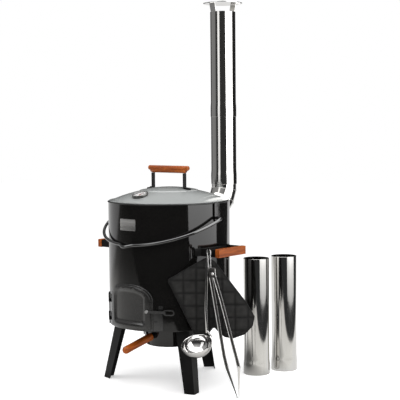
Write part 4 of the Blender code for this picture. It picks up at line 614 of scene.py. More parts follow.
def make_elbow():
    """A bend of four cut gores, with a bead on each joint."""
    bend, bends = 0.0830, 4
    start = 0.1805
    half_bend = pi / 4 / bends
    mitre = bend / cos(half_bend)
    path = [(0, start, FLUE_HEIGHT)]
    for index in range(bends):
        angle = half_bend * (2 * index + 1)
        path.append((0, start + mitre * sin(angle), ELBOW_TOP - mitre * cos(angle)))
    path.append((0, FLUE_BACK, ELBOW_TOP + 0.0246))
    outer, inner = (swept_rings(path, circle(radius, MEDIUM), (1, 0, 0))
                    for radius in (PIPE_RADIUS, PIPE_RADIUS - PIPE_WALL))
    piece("elbow_gores", ring_solid(outer + inner[::-1], closed=True), STAINLESS, "stove_body",
          "flue_elbow", sharp=15)
    bead, reach, stretch = 0.0009, PIPE_RADIUS + 0.0002, 1 / cos(half_bend)
    ring = [Vector((x, y * stretch, 0)) for x, y in circle(reach, MEDIUM)]
    for index, point in enumerate(path[1:-1], 1):
        ahead = (Vector(path[index + 1]) - Vector(path[index - 1])).normalized()
        place = Matrix.Translation(point) @ ahead.to_track_quat("Z", "X").to_matrix().to_4x4()
        piece(f"gore_bead_{index}", closed_rod(ring, circle(bead, 8), (0, 0, 1)), STAINLESS,
              "stove_body", place=place)


def make_flue():
    flue = shift(0, FLUE_BACK, 0)
    piece("flue_pipe_low", socket_pipe(ELBOW_TOP, LOWER_PIPE_TOP), STAINLESS, "stove_body",
          "flue_lower", flue)
    piece("flue_pipe_high", socket_pipe(UPPER_PIPE_BOTTOM, UPPER_PIPE_TOP), STAINLESS,
          "stove_body", "flue_upper", flue)
    lock_seam("seam_low", ELBOW_TOP + SEAM_START, 0.785, 150, flue)
    lock_seam("seam_high", UPPER_PIPE_BOTTOM + SEAM_START, 1.110, 150, flue)
    make_elbow()
    for number, (side, back) in enumerate(SPARE_PIPE_PLACES, 1):
        body = f"spare_pipe_{number}_body"
        place = shift(side, back, 0)
        piece(f"spare_pipe_sheet_{number}", socket_pipe(0, SPARE_PIPE_LENGTH), STAINLESS, body,
              f"spare_pipe_{number}", place)
        lock_seam(f"spare_seam_{number}", SEAM_START, 0.354, 190, place, body)
    dome = [(CAP_RADIUS * k / 8, CAP_RIM_HEIGHT + CAP_RISE * (1 - k / 8)) for k in range(8)]
    curl = [(0.0600, 1.1371), (0.0608, 1.1369), (0.0611, 1.1376), (0.0608, 1.1383),
            (0.0600, 1.1383)]
    cap = dome + curl + [(radius, height + CAP_SHEET) for radius, height in dome[::-1]]
    piece("cap_sheet", turned(cap, MEDIUM), STAINLESS, "stove_body", "flue_cap", flue, sharp=50)
    head = [(0, -0.001), (0.0042, -0.001), (0.0036, 0.0006), (0.002, 0.0014), (0, 0.0016)]
    piece("cap_rivet", turned(head, 24), STAINLESS, "stove_body",
          place=flue @ shift(0, 0, 1.1456) @ shift(0, 0, -0.0008))


# Pot, bail and lid

POT_RADIUS = 0.166
POT_BOTTOM = 0.309
POT_WALL = 0.0016
POT_CORNER = 0.014
RIM_BOTTOM = BODY_TOP + GAP
RIM_TOP = RIM_BOTTOM + 0.003
RIM_RADIUS = 0.1821
BAIL_PIVOT = 0.4947
BAIL_RADIUS = 0.200
BAIL_WIRE = 0.0045
BAIL_CORNER = 0.010
BAIL_NOTCH = 0.012
BAIL_TILT = acos((PLATE_RADIUS + 0.001 + 0.0004 + BAIL_WIRE) / BAIL_RADIUS)


def make_pot():
    bore = POT_RADIUS - POT_WALL
    half = (RIM_TOP - RIM_BOTTOM) / 2
    corner = (POT_RADIUS - POT_CORNER, POT_BOTTOM + POT_CORNER)
    profile = [(0, POT_BOTTOM)]
    profile += arc(corner, POT_CORNER, -pi / 2, 0, 8)
    profile += [(POT_RADIUS, corner[1] + 0.002), (POT_RADIUS, RIM_BOTTOM - 0.004),
                (POT_RADIUS, RIM_BOTTOM - 0.002), (POT_RADIUS + 0.002, RIM_BOTTOM)]
    profile += arc((RIM_RADIUS - half, RIM_BOTTOM + half), half, -pi / 2, pi / 2, 8)
    profile += [(bore + 0.002, RIM_TOP), (bore, RIM_TOP - 0.002)]
    profile += arc(corner, POT_CORNER - POT_WALL, 0, -pi / 2, 8)
    profile += [(0, POT_BOTTOM + POT_WALL)]
    piece("pot_enamel", turned(profile, FINE), ENAMEL, "pot_body", "pot")


def make_bail():
    """A round wire bail with bent pivots and a notch at the middle for a chain hook."""
    start = RIM_RADIUS + 2 * GAP
    right = [(start, 0)] + arc((BAIL_RADIUS - BAIL_CORNER, BAIL_CORNER), BAIL_CORNER,
                               -pi / 2, -pi / 8, 6)
    first = 2 * BAIL_CORNER / BAIL_RADIUS
    steps = 120
    bow = []
    for k in range(steps + 1):
        angle = first + (pi - 2 * first) * k / steps
        share = max(0.0, 1 - abs(angle - pi / 2) / radians(8))
        radius = BAIL_RADIUS + BAIL_NOTCH * (0.5 - 0.5 * cos(pi * share))
        bow.append((radius * cos(angle), radius * sin(angle)))
    left = [(-side, reach) for side, reach in right[::-1]]
    forward = Vector((0, -cos(BAIL_TILT), -sin(BAIL_TILT)))
    pivot = Vector((0, 0, BAIL_PIVOT))
    path = [pivot + Vector((side, 0, 0)) + forward * reach for side, reach in right + bow + left]
    piece("bail_wire", rod(path, BAIL_WIRE, Vector((1, 0, 0)).cross(forward), 24), WIRE_ENAMEL,
          "bail_body", "bail", sharp=70)


LID_BOTTOM = RIM_TOP + GAP
LID_EDGE_TOP = LID_BOTTOM + 0.0018
LID_RISE = 0.036
LID_SHEET = 0.0013
DOME_RADIUS = 0.172
STEP_RADIUS = 0.086
STEP_WIDTH = 0.004
STEP_RISE = 0.002


def dome_height(radius):
    """Height of the lid's top at a distance from its middle; its centre is a step higher."""
    dome = LID_EDGE_TOP + LID_RISE * (1 - (radius / DOME_RADIUS) ** 2)
    inward = min(1, max(0, (STEP_RADIUS - radius) / STEP_WIDTH + 0.5))
    return dome + STEP_RISE * inward * inward * (3 - 2 * inward)


def dome_slope(radius):
    return atan2(2 * LID_RISE * radius, DOME_RADIUS ** 2)


GAUGE_REACH = 0.124
GAUGE_FRAME = shift(0, -GAUGE_REACH, dome_height(GAUGE_REACH)) @ Matrix.Rotation(
    dome_slope(GAUGE_REACH), 4, "X")


def make_lid():
    radii = [DOME_RADIUS * k / 44 for k in range(45)]
    radii += [0.0838 + 0.0044 * k / 8 for k in range(9)]
    radii = sorted(set(round(radius, 6) for radius in radii))
    edge = 0.0009
    top = [(radius, dome_height(radius)) for radius in radii]
    bead = arc((0.1766, LID_BOTTOM + edge + 0.0004), edge + 0.0003, pi * 0.6, -pi / 2, 10)
    under = [(radius, height - LID_SHEET) for radius, height in top[:-1]][::-1]
    profile = top + bead + [(DOME_RADIUS, LID_BOTTOM)] + under
    lid = piece("lid_dome", turned(profile, FINE), LID_ENAMEL, "lid_body", "lid", sharp=50)
    cut(lid, block(circle(0.0034, 24), -0.008, 0.008), GAUGE_FRAME)
    lid.data.set_sharp_from_angle(angle=radians(50))
    head = [(0, 0.0), (0.0030, 0.0), (0.0030, 0.0008), (0.0022, 0.0018), (0, 0.0022)]
    reach, foot = 0.0725, 0.0034
    for index, hand in enumerate((-1, 1), 1):
        place = shift(hand * reach, 0, dome_height(reach) + foot) @ Matrix.Rotation(
            hand * dome_slope(reach), 4, "Y")
        piece(f"foot_rivet_{index}", turned(head, 24), SATIN, "lid_body", place=place)


def make_gauge():
    """A dial thermometer: rounded bezel, printed scale, red needle and glass."""
    outer, high, bore = 0.0235, 0.008, 0.0215
    case = [(0, -0.055), (0.003, -0.052), (0.003, GAP), (outer - 0.0012, GAP), (outer, 0.0014),
            (outer, high - 0.002), (outer - 0.0004, high - 0.0006), (outer - 0.0012, high),
            (bore + 0.0003, high - 0.0002), (bore, high - 0.0008), (bore, 0.0022), (0, 0.0022)]
    piece("gauge_case", turned(case, MEDIUM), HEAD_STEEL, "lid_body", "thermometer_case",
          GAUGE_FRAME, sharp=50)
    dial_top = 0.0030
    first, sweep, count = radians(225), radians(270), 36
    marks = bmesh.new()
    for k in range(count + 1):
        angle = first - sweep * k / count
        inner, half = (0.0168, 0.00034) if k % 6 == 0 else (0.0182, 0.00018)
        out = Vector((cos(angle), sin(angle)))
        side = Vector((-out.y, out.x)) * half
        block([out * inner - side, out * 0.0200 - side, out * 0.0200 + side, out * inner + side],
              dial_top + 0.00002, dial_top + 0.00008, mesh=marks)
    piece("dial_marks", marks, INK, "lid_body", place=GAUGE_FRAME)
    reach = 0.0138
    for k in range(7):
        number = str(50 * k)
        angle = first - sweep * k / 6
        font = bpy.data.curves.new(f"number_{number}", "FONT")
        font.body = number
        font.size = 0.0034
        font.align_x = font.align_y = "CENTER"
        font.extrude = 0.00003
        font.materials.append(INK)
        text = add_object(f"number_{number}", font)
        text.matrix_world = AXIS @ GAUGE_FRAME @ shift(
            cos(angle) * reach, sin(angle) * reach, dial_top + 0.00006)
        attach(text, "lid_body")


# Wooden grips and ash pan

HANDLE_PLACE = shift(0, -0.0867, 0.1431) @ Matrix.Rotation(pi / 2 + radians(11.9), 4, "X")
PAN_BOTTOM = 0.1115
PAN_TOP = 0.1722
PAN_WALL = 0.0015


def make_lid_grip():
    """A turned grip: thinner ends, level with the middle's top."""
    post = 0.0617 + 0.003
    middle, end, half_length, shoulder, ease = 0.0108, 0.0070, 0.0777, 0.004, 0.0032
    top = 0.6195 + GAP + 2 * middle
    half = [(post * k / 3, middle) for k in (1, 2, 3)]
    half += [(post + shoulder * share, middle + (end - middle) * (0.5 - 0.5 * cos(pi * share)))
             for share in (k / 6 for k in range(1, 7))]
    half += arc((half_length - ease, end - ease), ease, pi / 2, 0, 6)
    stations = [(-along, radius) for along, radius in half[::-1]] + [(0, middle)] + half
    rings = [[(along, side, top - max(0, end - radius) - radius + up)
              for side, up in circle(radius, 56)] for along, radius in stations]
    grip = piece("lid_grip_wood", ring_solid(rings), WOOD_X, "lid_body", "lid_grip", sharp=50)
    grip.visible_glossy = False


def make_grips():
    make_lid_grip()
    near, thick, half, rise = 0.2235 + GAP, 0.0152, 0.0613, 0.012
    for name, angle in (("left", pi), ("right", 0)):
        outline = rounded_box(-half, half, -rise, rise, 0.0016, 3)
        grip = piece(f"side_grip_wood_{name}", block(outline, near, near + thick, "X"), WOOD_Y,
                     "stove_body", f"side_grip_{name}", shift(0, 0, 0.401) @ turn_z(angle))
        bevel(grip, 0.0016, 4)
    radius, length = 0.011, 0.1185
    handle = [(0, GAP), (radius - 0.0012, GAP), (radius, 0.0014), (radius, length * 0.4),
              (radius * 0.97, length * 0.7), (radius, length - radius)]
    handle += arc((0, length - radius), radius, 0, pi / 2, 8)[1:-1] + [(0, length)]
    piece("ash_handle_wood", turned(handle, 64), WOOD_Y, "pan_body", "ash_handle", HANDLE_PLACE)


def make_pan():
    bottom, top, wall = PAN_BOTTOM, PAN_TOP, PAN_WALL
    profile = [(0, bottom), (0.0705, bottom), (0.0728, bottom + 0.0006), (0.0742, bottom + 0.0022),
               (0.0744, bottom + 0.004), (0.0804, top - wall - 0.0024),
               (0.0805, top - wall - 0.0012), (0.0812, top - wall), (0.0846, top - wall),
               (0.0850, top - wall / 2), (0.0846, top), (0.0795, top), (0.0788, top - 0.001),
               (0.0728, bottom + wall + 0.0018), (0.0712, bottom + wall + 0.0004),
               (0.0695, bottom + wall), (0, bottom + wall)]
    piece("ash_pan_enamel", turned(profile, MEDIUM), ENAMEL, "pan_body", "ash_pan", sharp=50)
    radius, length, ease = 0.0095, 0.012, 0.0008
    shape = [(0, -length), (radius, -length), (radius, -ease), (radius - ease, 0), (0, 0)]
    boss = piece("pan_boss", turned(shape, 48), ENAMEL, "pan_body", place=HANDLE_PLACE)
    cut(boss, turned([(0, bottom), (0.0738, bottom), (0.0798, top), (0, top)], MEDIUM))


# Hanging tools, in their own frame: +X along, -Y outward

TOOL_TURN = turn_z(TOOL_AZIMUTH)
ARM_FACE = -(0.0585 + 0.00125) - GAP
HOOK_CORNER = TOOL_TURN.inverted() @ Vector((0.2045, ARM_FACE - 0.0055, 0))
HOOK_ALONG = HOOK_CORNER.x
HOOK_START = -HOOK_CORNER.y
HOOK_LOW = 0.3945
HOOK_SLOPE = (0.4155 - HOOK_LOW) / (0.238 - HOOK_START)
INWARD = Vector((0, 1, 0))


def tool(name, mesh, look, body, node=None, place=IDENTITY, sharp=40):
    return piece(name, mesh, look, body, node, TOOL_TURN @ place, sharp)


def tool_sweep(path, section):
    return ring_solid(swept_rings(path, section, INWARD))


def hook_height(outward):
    return HOOK_LOW + HOOK_SLOPE * (outward - HOOK_START)


def from_hook(layer, shares, length):
    """A point as shares of a tool's length, along and up from where it hangs."""
    return Vector((HOOK_ALONG + shares[0] * length, -layer,
                   hook_height(layer) + shares[1] * length))


def edge_distance(point, outline):
    nearest = 1.0
    for index, end in enumerate(outline):
        start = outline[index - 1]
        run = end - start
        share = min(1, max(0, (point - start).dot(run) / run.length_squared))
        nearest = min(nearest, (point - start - run * share).length)
    return nearest


MITT_SPAN = 0.240
MITT_ROLL = 0.013
QUILT = 0.036
SEAM_WIDTH = 0.0030
MITTS = (
    ("mitt_left", 0.1890,
     ((-0.02, -0.03), (-0.48, -0.295), (-0.342, -0.578), (-0.173, -0.932), (-0.13, -0.955),
      (-0.05, -0.965), (0.03, -0.87), (0.12, -0.70), (0.17, -0.50))),
    ("mitt_right", 0.2040,
     ((0.0, -0.05), (0.068, -0.10), (0.43, -0.58), (0.522, -0.742), (0.50, -0.85),
      (0.41, -0.945), (0.276, -0.992), (0.18, -0.975), (0.114, -0.921), (0.055, -0.85),
      (0.045, -0.50))))


def quilted_pad(outline, layer, seed):
    """A padded cloth form: puffed squares between sewn lines, crumpled a little."""
    edge, thick, pitch = 0.0042, 0.0128, 0.0036
    mesh = block(outline, -layer - edge / 2, -layer + edge / 2, "Y")
    origin = Vector((HOOK_ALONG, 0, hook_height(layer)))
    for normal, low, high in ((Vector((1, 0, 0)), -0.14, 0.14), (Vector((0, 0, 1)), -0.26, 0.01)):
        for index in range(int(low / pitch), int(high / pitch) + 1):
            split(mesh, origin + normal * index * pitch, normal)
    bmesh.ops.triangulate(mesh, faces=mesh.faces)
    seam_shade_layer = mesh.verts.layers.float.new("puff")
    for vert in mesh.verts:
        flat = Vector((vert.co.x, vert.co.z))
        roll = min(1, edge_distance(flat, outline) / MITT_ROLL)
        puff = 1.0
        for across, start in ((flat.x, HOOK_ALONG), (flat.y, hook_height(layer))):
            wave = (across - start) / QUILT
            near = abs(wave - round(wave)) * QUILT
            puff *= 1 - 0.85 * exp(-(near / SEAM_WIDTH) ** 2)
        # painted shade: this layer, low along the seams and near the rolled edges, darkens the
        # cloth's colour there
        vert[seam_shade_layer] = puff * (0.5 + 0.5 * roll)
        side = 1 if vert.co.y > -layer else -1
        half = edge / 2 + (thick - edge) / 2 * sin(pi / 2 * roll) * (0.16 + 0.84 * puff)
        at = Vector((flat.x, flat.y, 0)) * 38 + Vector((seed, 0, 0))
        half += 0.00055 * roll * noise.noise(at + Vector((0, 0, 9 if side > 0 else 0)))
        sag = 0.0011 * noise.noise(at * 0.4 + Vector((0, 7, 0))) * roll
        vert.co.y = -layer + side * half + sag
    return mesh


def loop_path(ends, across=Vector((1, 0, 0)), down=Vector((0, 0, -1)), steps=12):
    """A closed loop round two ends, given as (centre, radius), from the upper to the lower."""
    return [centre + across * (reach * cos(a)) - down * (reach * sin(a))
            for (centre, reach), start in zip(ends, (0, pi))
            for a in (start + pi * k / steps for k in range(steps + 1))]


def make_mitts():
    stitch = [(0.0020 * a, 0.0029 * b) for a, b in circle(1, 10)]
    tape = [(0.0009, -0.0040), (0.0009, 0.0040), (-0.0009, 0.0040), (-0.0009, -0.0040)]
    for seed, (name, layer, shares) in enumerate(MITTS):
        body = f"{name}_body"
        points = [from_hook(layer, share, MITT_SPAN) for share in shares]
        outline = rounded([(point.x, point.z) for point in points], 0.008, 6)
        pad = tool(f"{name}_cloth", quilted_pad(outline, layer, seed * 5.0), CLOTH, body, name,
                   sharp=80)
        smooth = pad.modifiers.new("smooth", "SUBSURF")
        smooth.levels = 1
        smooth.render_levels = 1
        path = [Vector((x, -layer, z)) for x, z in outline]
        tool(f"{name}_binding", closed_rod(path, stitch, INWARD), CLOTH, body, sharp=80)
        hang = from_hook(layer, (0, 0), MITT_SPAN)
        loop = loop_path(((hang, 0.0056), (hang - Vector((0, 0, 0.018)), 0.0056)))
        tool(f"{name}_loop", closed_rod(loop, tape, INWARD), CLOTH, body, sharp=50)


TONGS_LAYER = 0.2285
TONGS_LENGTH = 0.420
TONGS_TIP = (0.188, -0.9775)
TONGS_RIVET = (0.0245, -0.148)
TONGS_WIDTH = 0.0095
TONGS_DEPTH = 0.0078
TONGS_LIP = 0.0021
TONGS_SHEET = 0.0008
WIRE = 0.0010
TONGS_ARMS = (
    ("left", -1, "tongs_body",
     ((0.012, -0.171), (0.0364, -0.322), (0.095, -0.691), (0.114, -0.776))),
    ("right", 1, "tongs_arm_body",
     ((0.0376, -0.171), (0.080, -0.323), (0.172, -0.691), (0.193, -0.776))))


def tongs_place(shares):
    return from_hook(TONGS_LAYER, shares, TONGS_LENGTH)


def make_tongs_arm(name, path, body):
    """A folded arm: a channel between two lips, whose inner floor is given painted shade."""
    half, deep = TONGS_WIDTH / 2, TONGS_DEPTH / 2
    lip, sheet = TONGS_LIP, TONGS_SHEET
    right = [(half, deep), (half, -deep), (half - lip, -deep), (half - lip, sheet - deep),
             (half - sheet, sheet - deep), (half - sheet, deep - sheet)]
    left = [(-side, up) for side, up in right[::-1]]
    section = left[-2:] + right + left[:-2]
    arm = tool(f"{name}_fold", tool_sweep(path, section), POLISHED, body, name, sharp=30)
    arm.data.materials.append(SHADED_STEEL)
    # painted light and shade: each arm's a lip takes the light steel and its b lip the dark copy,
    # as lit and shaded sides
    for edge, place, metal in (("a", half - WIRE, LIP_STEEL), ("b", WIRE - half, LIP_SHADE_STEEL)):
        bead = [(place + a, up - deep) for a, up in circle(WIRE, 12)]
        tool(f"{name}_lip_{edge}", tool_sweep(path, bead), metal, body)
    # painted shade: the channel's outward-facing inner faces take the darkened steel
    outward = TOOL_TURN @ -INWARD
    to_tool = TOOL_TURN.inverted() @ AXIS.inverted()
    for face in arm.data.polygons:
        inside = abs((to_tool @ face.center).y + TONGS_LAYER) < deep - sheet / 2
        if inside and face.normal.dot(outward) > 0.5:
            face.material_index = 1


def make_tongs():
    """Two folded arms with tapered claws and flat heads, on a rivet and a hanging loop."""
    half = TONGS_WIDTH / 2
    rivet_at = tongs_place(TONGS_RIVET)
    top = rivet_at + Vector((-0.0012, 0, 0.0160))
    for name, hand, body, shares in TONGS_ARMS:
        path = [tongs_place(share) for share in shares]
        make_tongs_arm(f"tongs_arm_{name}", path, body)
        foot = path[-1]
        tip = tongs_place(TONGS_TIP) + Vector((hand * 0.0022, 0, 0))
        run = (tip - foot).normalized()
        side = INWARD.cross(run)
        root = foot - run * 0.004
        corners = (root - side * 0.0040, root + side * 0.0040, tip + side * 0.0008,
                   tip - side * 0.0008)
        claw = block([(c.x, c.z) for c in corners], -TONGS_LAYER - 0.0034,
                     -TONGS_LAYER + 0.0034, "Y")
        # painted shade: the left claw takes the darkened copy of the steel, the right one the lit
        # polished steel
        metal = SHADED_STEEL if hand < 0 else POLISHED
        bevel(tool(f"tongs_claw_{name}", claw, metal, body), 0.0012, 3)
        head_foot = path[0] + (path[1] - path[0]).normalized() * 0.010
        edge = 0.0092 if hand < 0 else 0.0085
        waist = rivet_at.z - 0.004
        outline = rounded([(top.x - edge, top.z), (top.x + edge, top.z),
                           (rivet_at.x + edge, waist), (head_foot.x + half, head_foot.z),
                           (head_foot.x - half, head_foot.z), (rivet_at.x - edge, waist)],
                          0.0016, 3)
        middle = hand * 0.0019 - TONGS_LAYER
        head = block(outline, middle - 0.0005, middle + 0.0005, "Y")
        bevel(tool(f"tongs_head_{name}", head, HEAD_STEEL, body), 0.0003)
    fold = [top + Vector((edge - 0.0006, -0.0024, -0.002)),
            rivet_at + Vector((edge - 0.0006, -0.0024, -0.004)),
            head_foot + Vector((half - 0.0006, -0.0024, 0))]
    tool("tongs_head_fold", rod(fold, 0.0009, INWARD, 12), LIP_STEEL, "tongs_arm_body")
    foot, wide, rise = 0.0027, 0.0040, 0.0024
    dome = [(0, foot)] + [(wide * a, foot + rise * b)
                          for a, b in arc((0, 0), 1, 0, pi / 2, 5)[:-1]] + [(0, foot + rise)]
    tool("tongs_rivet_dome", turned(dome, 24), LIP_STEEL, "tongs_body",
         place=Matrix.Translation(rivet_at) @ Matrix.Rotation(pi / 2, 4, "X"))
    hang = tongs_place((0, 0))
    low = rivet_at + Vector((-0.0072, 0, 0.0125))
    run = (low - hang).normalized()
    loop = loop_path(((hang, 0.0048), (low, 0.0026)), INWARD.cross(run), run, 10)
    tool("tongs_loop_wire", closed_rod(loop, circle(WIRE, 12), INWARD), LIP_STEEL, "tongs_body",
         "tongs_loop")


LADLE_LAYER = 0.2205
LADLE_LENGTH = 0.226
BOWL_RADIUS = 0.0430
BOWL_DEPTH = 0.038
BOWL_WALL = 0.0012


def make_ladle():
    """A deep bowl on a crowned handle strip with an eye for the hook."""
    radius, wall = BOWL_RADIUS, BOWL_WALL
    squash = BOWL_DEPTH / radius
    rim = from_hook(LADLE_LAYER, (-0.028, -1), LADLE_LENGTH) + Vector((0.0057, 0, -0.0113))
    turn = turn_z(radians(-24.8)) @ Matrix.Rotation(radians(24.9), 4, "X")
    held = radians(33)
    toward = Vector((sin(held), cos(held), 0))
    bowl_frame = Matrix.Translation(rim - turn @ (toward * radius)) @ turn
    outer = [(0, -BOWL_DEPTH)]
    outer += [(a, b * squash) for a, b in arc((0, 0), radius, -pi / 2, 0, 24)[1:]]
    inner = [(a, b * squash) for a, b in arc((0, 0), radius - wall, 0, -pi / 2, 24)[:-1]]
    inner += [(0, (wall - radius) * squash)]
    lip = [(radius + 0.0006, 0.0002), (radius + 0.0005, 0.0009), (radius - 0.0003, 0.0011),
           (radius - 0.0011, 0.0007)]
    tool("ladle_cup", turned(outer + lip + inner, MEDIUM), POLISHED, "ladle_body", "ladle_bowl",
         bowl_frame, sharp=60)
    shares = ((-0.0065, -0.036), (-0.018, -0.10), (-0.040, -0.70), (-0.028, -1))
    strip = [(0.0035 * a, 0.0014 * b) for a, b in circle(1, 20)]
    path = [from_hook(LADLE_LAYER, share, LADLE_LENGTH) for share in shares]
    tool("ladle_strip", tool_sweep(path, strip), POLISHED, "ladle_body", "ladle_handle")
    neck = [path[-1] + Vector((0, 0, 0.007))]
    neck += [bowl_frame @ (toward * (radius + past) + Vector((0, 0, -0.003)))
             for past in (0.007, GAP)]
    across = (neck[1] - neck[0]).cross(neck[2] - neck[1])
    tool("ladle_neck", rod(neck, 0.0024, across), POLISHED, "ladle_body")
    eye = [(0.0042, -0.0009), (0.0078, -0.0009), (0.0080, 0), (0.0078, 0.0009),
           (0.0042, 0.0009), (0.0038, 0)]
    tool("ladle_eye", turned(eye, 40), POLISHED, "ladle_body",
         place=Matrix.Translation(from_hook(LADLE_LAYER, (0, 0), LADLE_LENGTH))
         @ Matrix.Rotation(pi / 2, 4, "X"))


# Camera, lights and stage

CAMERA_PLACE = Vector((2.065, -2.3426, 0.7631))
CAMERA_AHEAD = Vector((-0.6372, 0.7674, -0.0719)).normalized()
CAMERA_ROLL = -0.00892
LENS = 94.853
TO_CAMERA = Vector((0.639, -0.769, 0.0))
TO_RIGHT = Vector((0.769, 0.639, 0.0))
TABLE_SIDE = Vector((0.98, 0.197, 0))
FLOOR_SIZE = 9.0
FLOOR_TONE = 0.74
FLOOR_LIFT = 0.24
CAMERA_LIFT = 0.40
AMBIENT = 0.62
CARD_STRENGTH = 4.0
WHITE = (1, 1, 1, 1)


def make_camera():
    data = bpy.data.cameras.new("camera")
    data.lens = LENS
    data.sensor_width = 36
    camera = add_object("camera", data)
    level = CAMERA_AHEAD.cross(Vector((0, 0, 1))).normalized()
    above = level.cross(CAMERA_AHEAD)
    right = level * cos(CAMERA_ROLL) + above * sin(CAMERA_ROLL)
    up = above * cos(CAMERA_ROLL) - level * sin(CAMERA_ROLL)
    turn = Matrix((right, up, -CAMERA_AHEAD)).transposed().to_4x4()
    camera.matrix_world = AXIS @ Matrix.Translation(CAMERA_PLACE) @ turn
    bpy.context.scene.camera = camera


def area_light(name, place, target, size, power):
    data = bpy.data.lights.new(name, "AREA")
    data.size = size
    data.energy = power
    light = add_object(name, data)
    light.location = AXIS @ Vector(place)
    light.rotation_mode = "QUATERNION"
    light.rotation_quaternion = (Vector(target) - Vector(place)).to_track_quat("-Z", "Y")
    light.visible_glossy = False


def stage_plane(name, corners, material):
    mesh = bpy.data.meshes.new(name)
    mesh.from_pydata([AXIS @ Vector(corner) for corner in corners], [], [(0, 1, 2, 3)])
    mesh.materials.append(material)
    panel = add_object(name, mesh)
    return panel


def bare_material(name):
    """A material whose tree is empty, and a function that ends it with a surface."""
    material = bpy.data.materials.new(name)
    material.use_nodes = True
    tree = material.node_tree
    tree.nodes.clear()

    def surface(shader):
        out = tree.nodes.new("ShaderNodeOutputMaterial")
        tree.links.new(shader, out.inputs["Surface"])
        return material
    return tree, surface


def card(name, start, end, low, high, slant, stops):
    """A soft box that only reflections see; its glow follows its height."""
    tree, surface = bare_material(f"{name}_light")
    place = tree.nodes.new("ShaderNodeNewGeometry").outputs["Position"]
    height = node(tree, "ShaderNodeSeparateXYZ", place).outputs["Z"]
    color = ramp(tree, spread(tree, height, 0, 1, low, high), stops)
    light = node(tree, "ShaderNodeEmission", Color=color, Strength=CARD_STRENGTH).outputs[0]
    lean = (start - end).normalized() * slant
    corners = [start + Vector((0, 0, low)), end + Vector((0, 0, low)),
               end + Vector((0, 0, high)), start + Vector((0, 0, high)) + lean * high]
    panel = stage_plane(name, corners, surface(light))
    panel.visible_camera = False
    panel.visible_diffuse = False
    panel.visible_shadow = False
    panel.visible_transmission = False


def make_cards():
    out = TABLE_SIDE * 1.49
    back = Vector((-0.197, 0.98, 0))
    card("side_box", out - back * 0.62, out + back * 1.06, 0.0, 2.4, 0.30,
         ((0.0, 0.16), (0.06, 0.28), (0.105, 0.60), (0.20, 0.86),
          (1.0, 0.95)))
    card("strip_box", Vector((-0.50, -2.0, 0)), Vector((0.25, -2.0, 0)), 0.45, 2.8, 0.0,
         ((0.0, 0.26), (0.20, 0.34), (1.0, 0.42)))


def mirrored_floor(tree, place):
    """The floor as reflections see it: a lit table that ends, with a painted shadow that darkens
    it under the stove.
    """
    ahead = measured(tree, "DOT_PRODUCT", place, TO_CAMERA)
    sides = []
    for direction, edge in ((TABLE_SIDE, 0.74), (TO_CAMERA, 1.25)):
        edge += AXIS.translation.dot(direction)
        along = measured(tree, "DOT_PRODUCT", place, direction)
        sides.append(spread(tree, along, 1, 0, edge - 0.02, edge + 0.02))
    by_side = ramp(tree, spread(tree, ahead, 0, 1, -2.0, 1.0),
                   ((0.0, 1.0), (0.37, 0.95), (0.52, 0.62),
                    (0.68, 0.50), (1.0, 0.40)))
    reach = measured(tree, "DISTANCE", place, (0, 0, 0))
    by_reach = ramp(tree, spread(tree, reach, 0, 1, 0.0, 5.0),
                    ((0.0, 1.0), (0.20, 1.0), (0.40, 0.5),
                     (0.58, 0.20), (1.0, 0.07)))
    table = mixed(tree, 1.0, by_side, by_reach, "MULTIPLY")
    warm = mixed(tree, 1.0, table, (2.0, 1.98, 1.92, 1), "MULTIPLY", clamp=True)
    behind = mixed(tree, spread(tree, ahead, 1, 0, -1.9, -1.3), warm, (0.97, 0.97, 0.97, 1))
    seen = mixed(tree, combined(tree, "MULTIPLY", *sides), (0.035, 0.036, 0.037, 1), behind)
    # painted shadow: the reflected floor's glow dims toward the stove's axis, standing in for the
    # stove's shadow on it
    under = measured(tree, "DISTANCE", place, AXIS.translation)
    return node(tree, "ShaderNodeEmission", Color=seen,
                Strength=spread(tree, under, 0.12, 1.0, 0.10, 0.40)).outputs[0]


def make_floor():
    """A white floor that keeps the stove's shadow."""
    tree, surface = bare_material("floor_white")
    path = tree.nodes.new("ShaderNodeLightPath").outputs
    place = tree.nodes.new("ShaderNodeNewGeometry").outputs["Position"]
    tone = spread(tree, path["Is Camera Ray"], FLOOR_TONE, 1.0)
    lift = spread(tree, path["Is Camera Ray"], FLOOR_LIFT, CAMERA_LIFT)
    both = node(tree, "ShaderNodeAddShader",
                node(tree, "ShaderNodeBsdfDiffuse", Color=tone).outputs[0],
                node(tree, "ShaderNodeEmission", Strength=lift).outputs[0]).outputs[0]
    seen = either(tree, path["Is Glossy Ray"], both, mirrored_floor(tree, place))
    size = FLOOR_SIZE
    stage_plane("floor", [(-size, -size, 0), (size, -size, 0), (size, size, 0), (-size, size, 0)],
                surface(seen))


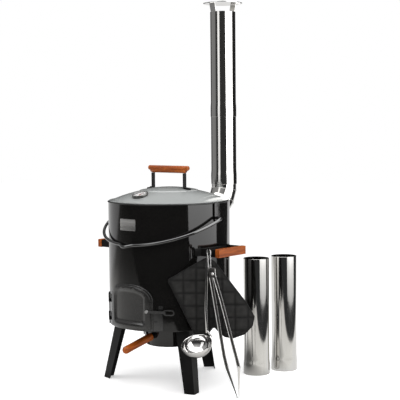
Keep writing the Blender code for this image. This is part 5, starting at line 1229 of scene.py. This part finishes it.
def make_world():
    """White behind for the camera; reflections see a dim studio with light overhead."""
    world = bpy.data.worlds.new("studio")
    bpy.context.scene.world = world
    world.use_nodes = True
    tree = world.node_tree
    tree.nodes.clear()
    place = tree.nodes.new("ShaderNodeTexCoord").outputs["Generated"]
    right, front, up = (measured(tree, "DOT_PRODUCT", place, direction)
                        for direction in (TO_RIGHT, TO_CAMERA, Vector((0, 0, 1))))
    azimuth = combined(tree, "ARCTAN2", right, front)
    bands = ramp(tree, spread(tree, azimuth, 0, 1, -pi, pi),
                 [((degrees + 180) / 360, value) for degrees, value in
                  ((-140, 0.05), (-128, 0.28), (-80, 0.27), (-70, 0.05), (-60, 0.04),
                   (60, 0.04), (97, 0.02), (180, 0.02))])
    zenith = ramp(tree, up, ((0.62, 0.42), (0.74, 0.42), (0.83, 1.0),
                             (1.0, 1.0)))
    studio = node(tree, "ShaderNodeBackground",
                  Color=mixed(tree, spread(tree, up, 0, 1, 0.34, 0.62), bands, zenith),
                  Strength=spread(tree, up, 1, 4, 0.75, 0.86)).outputs[0]
    white = node(tree, "ShaderNodeBackground", Color=WHITE, Strength=1.0).outputs[0]
    seen = node(tree, "ShaderNodeBackground", Color=WHITE, Strength=AMBIENT).outputs[0]
    path = tree.nodes.new("ShaderNodeLightPath")
    for ray, shader in (("Is Glossy Ray", studio), ("Is Transmission Ray", white),
                        ("Is Camera Ray", white)):
        seen = either(tree, path.outputs[ray], seen, shader)
    tree.links.new(seen, tree.nodes.new("ShaderNodeOutputWorld").inputs["Surface"])


def make_lights():
    area_light("key", (1.6, -0.9, 2.1), (0, 0, 0.4), 1.4, 26)
    area_light("fill", (-1.8, -1.6, 1.5), (0, 0, 0.4), 1.6, 12)
    area_light("top", (0.1, 0.1, 2.6), (0, 0, 0.3), 1.8, 16)


make_drum()
make_frame()
make_name_plate()
make_door()
make_flue()
make_pot()
make_bail()
make_lid()
make_gauge()
make_grips()
make_pan()
make_mitts()
make_tongs()
make_ladle()
dress("base_plate pot_ear_left pot_ear_right", ENAMEL, 0.0003)
dress("grate_ring flue_collar leg_1 leg_2 leg_3 pan_rail_left pan_rail_right side_bracket_left "
      "side_bracket_right lid_post_left lid_post_right tool_hook hinge_eye_upper "
      "hinge_eye_lower hinge_pin", SATIN, 0.0004)
dress("latch_lever latch_keeper", LATCH_STEEL, 0.0012, 3)
dress("fire_grate", CAST_IRON, 0.0006)
dress("latch_bolt leg_bolt_1 leg_bolt_2 leg_bolt_3 tongs_pin", ZINC, 0.0003)
dress("cap_strap_1 cap_strap_2", STAINLESS, 0.0002)
dress("thermometer_dial", DIAL)
dress("thermometer_needle", RED)
dress("thermometer_glass", GLASS)
make_floor()
make_world()
make_cards()
make_lights()
make_camera()

scene = bpy.context.scene
scene.view_settings.view_transform = "Standard"
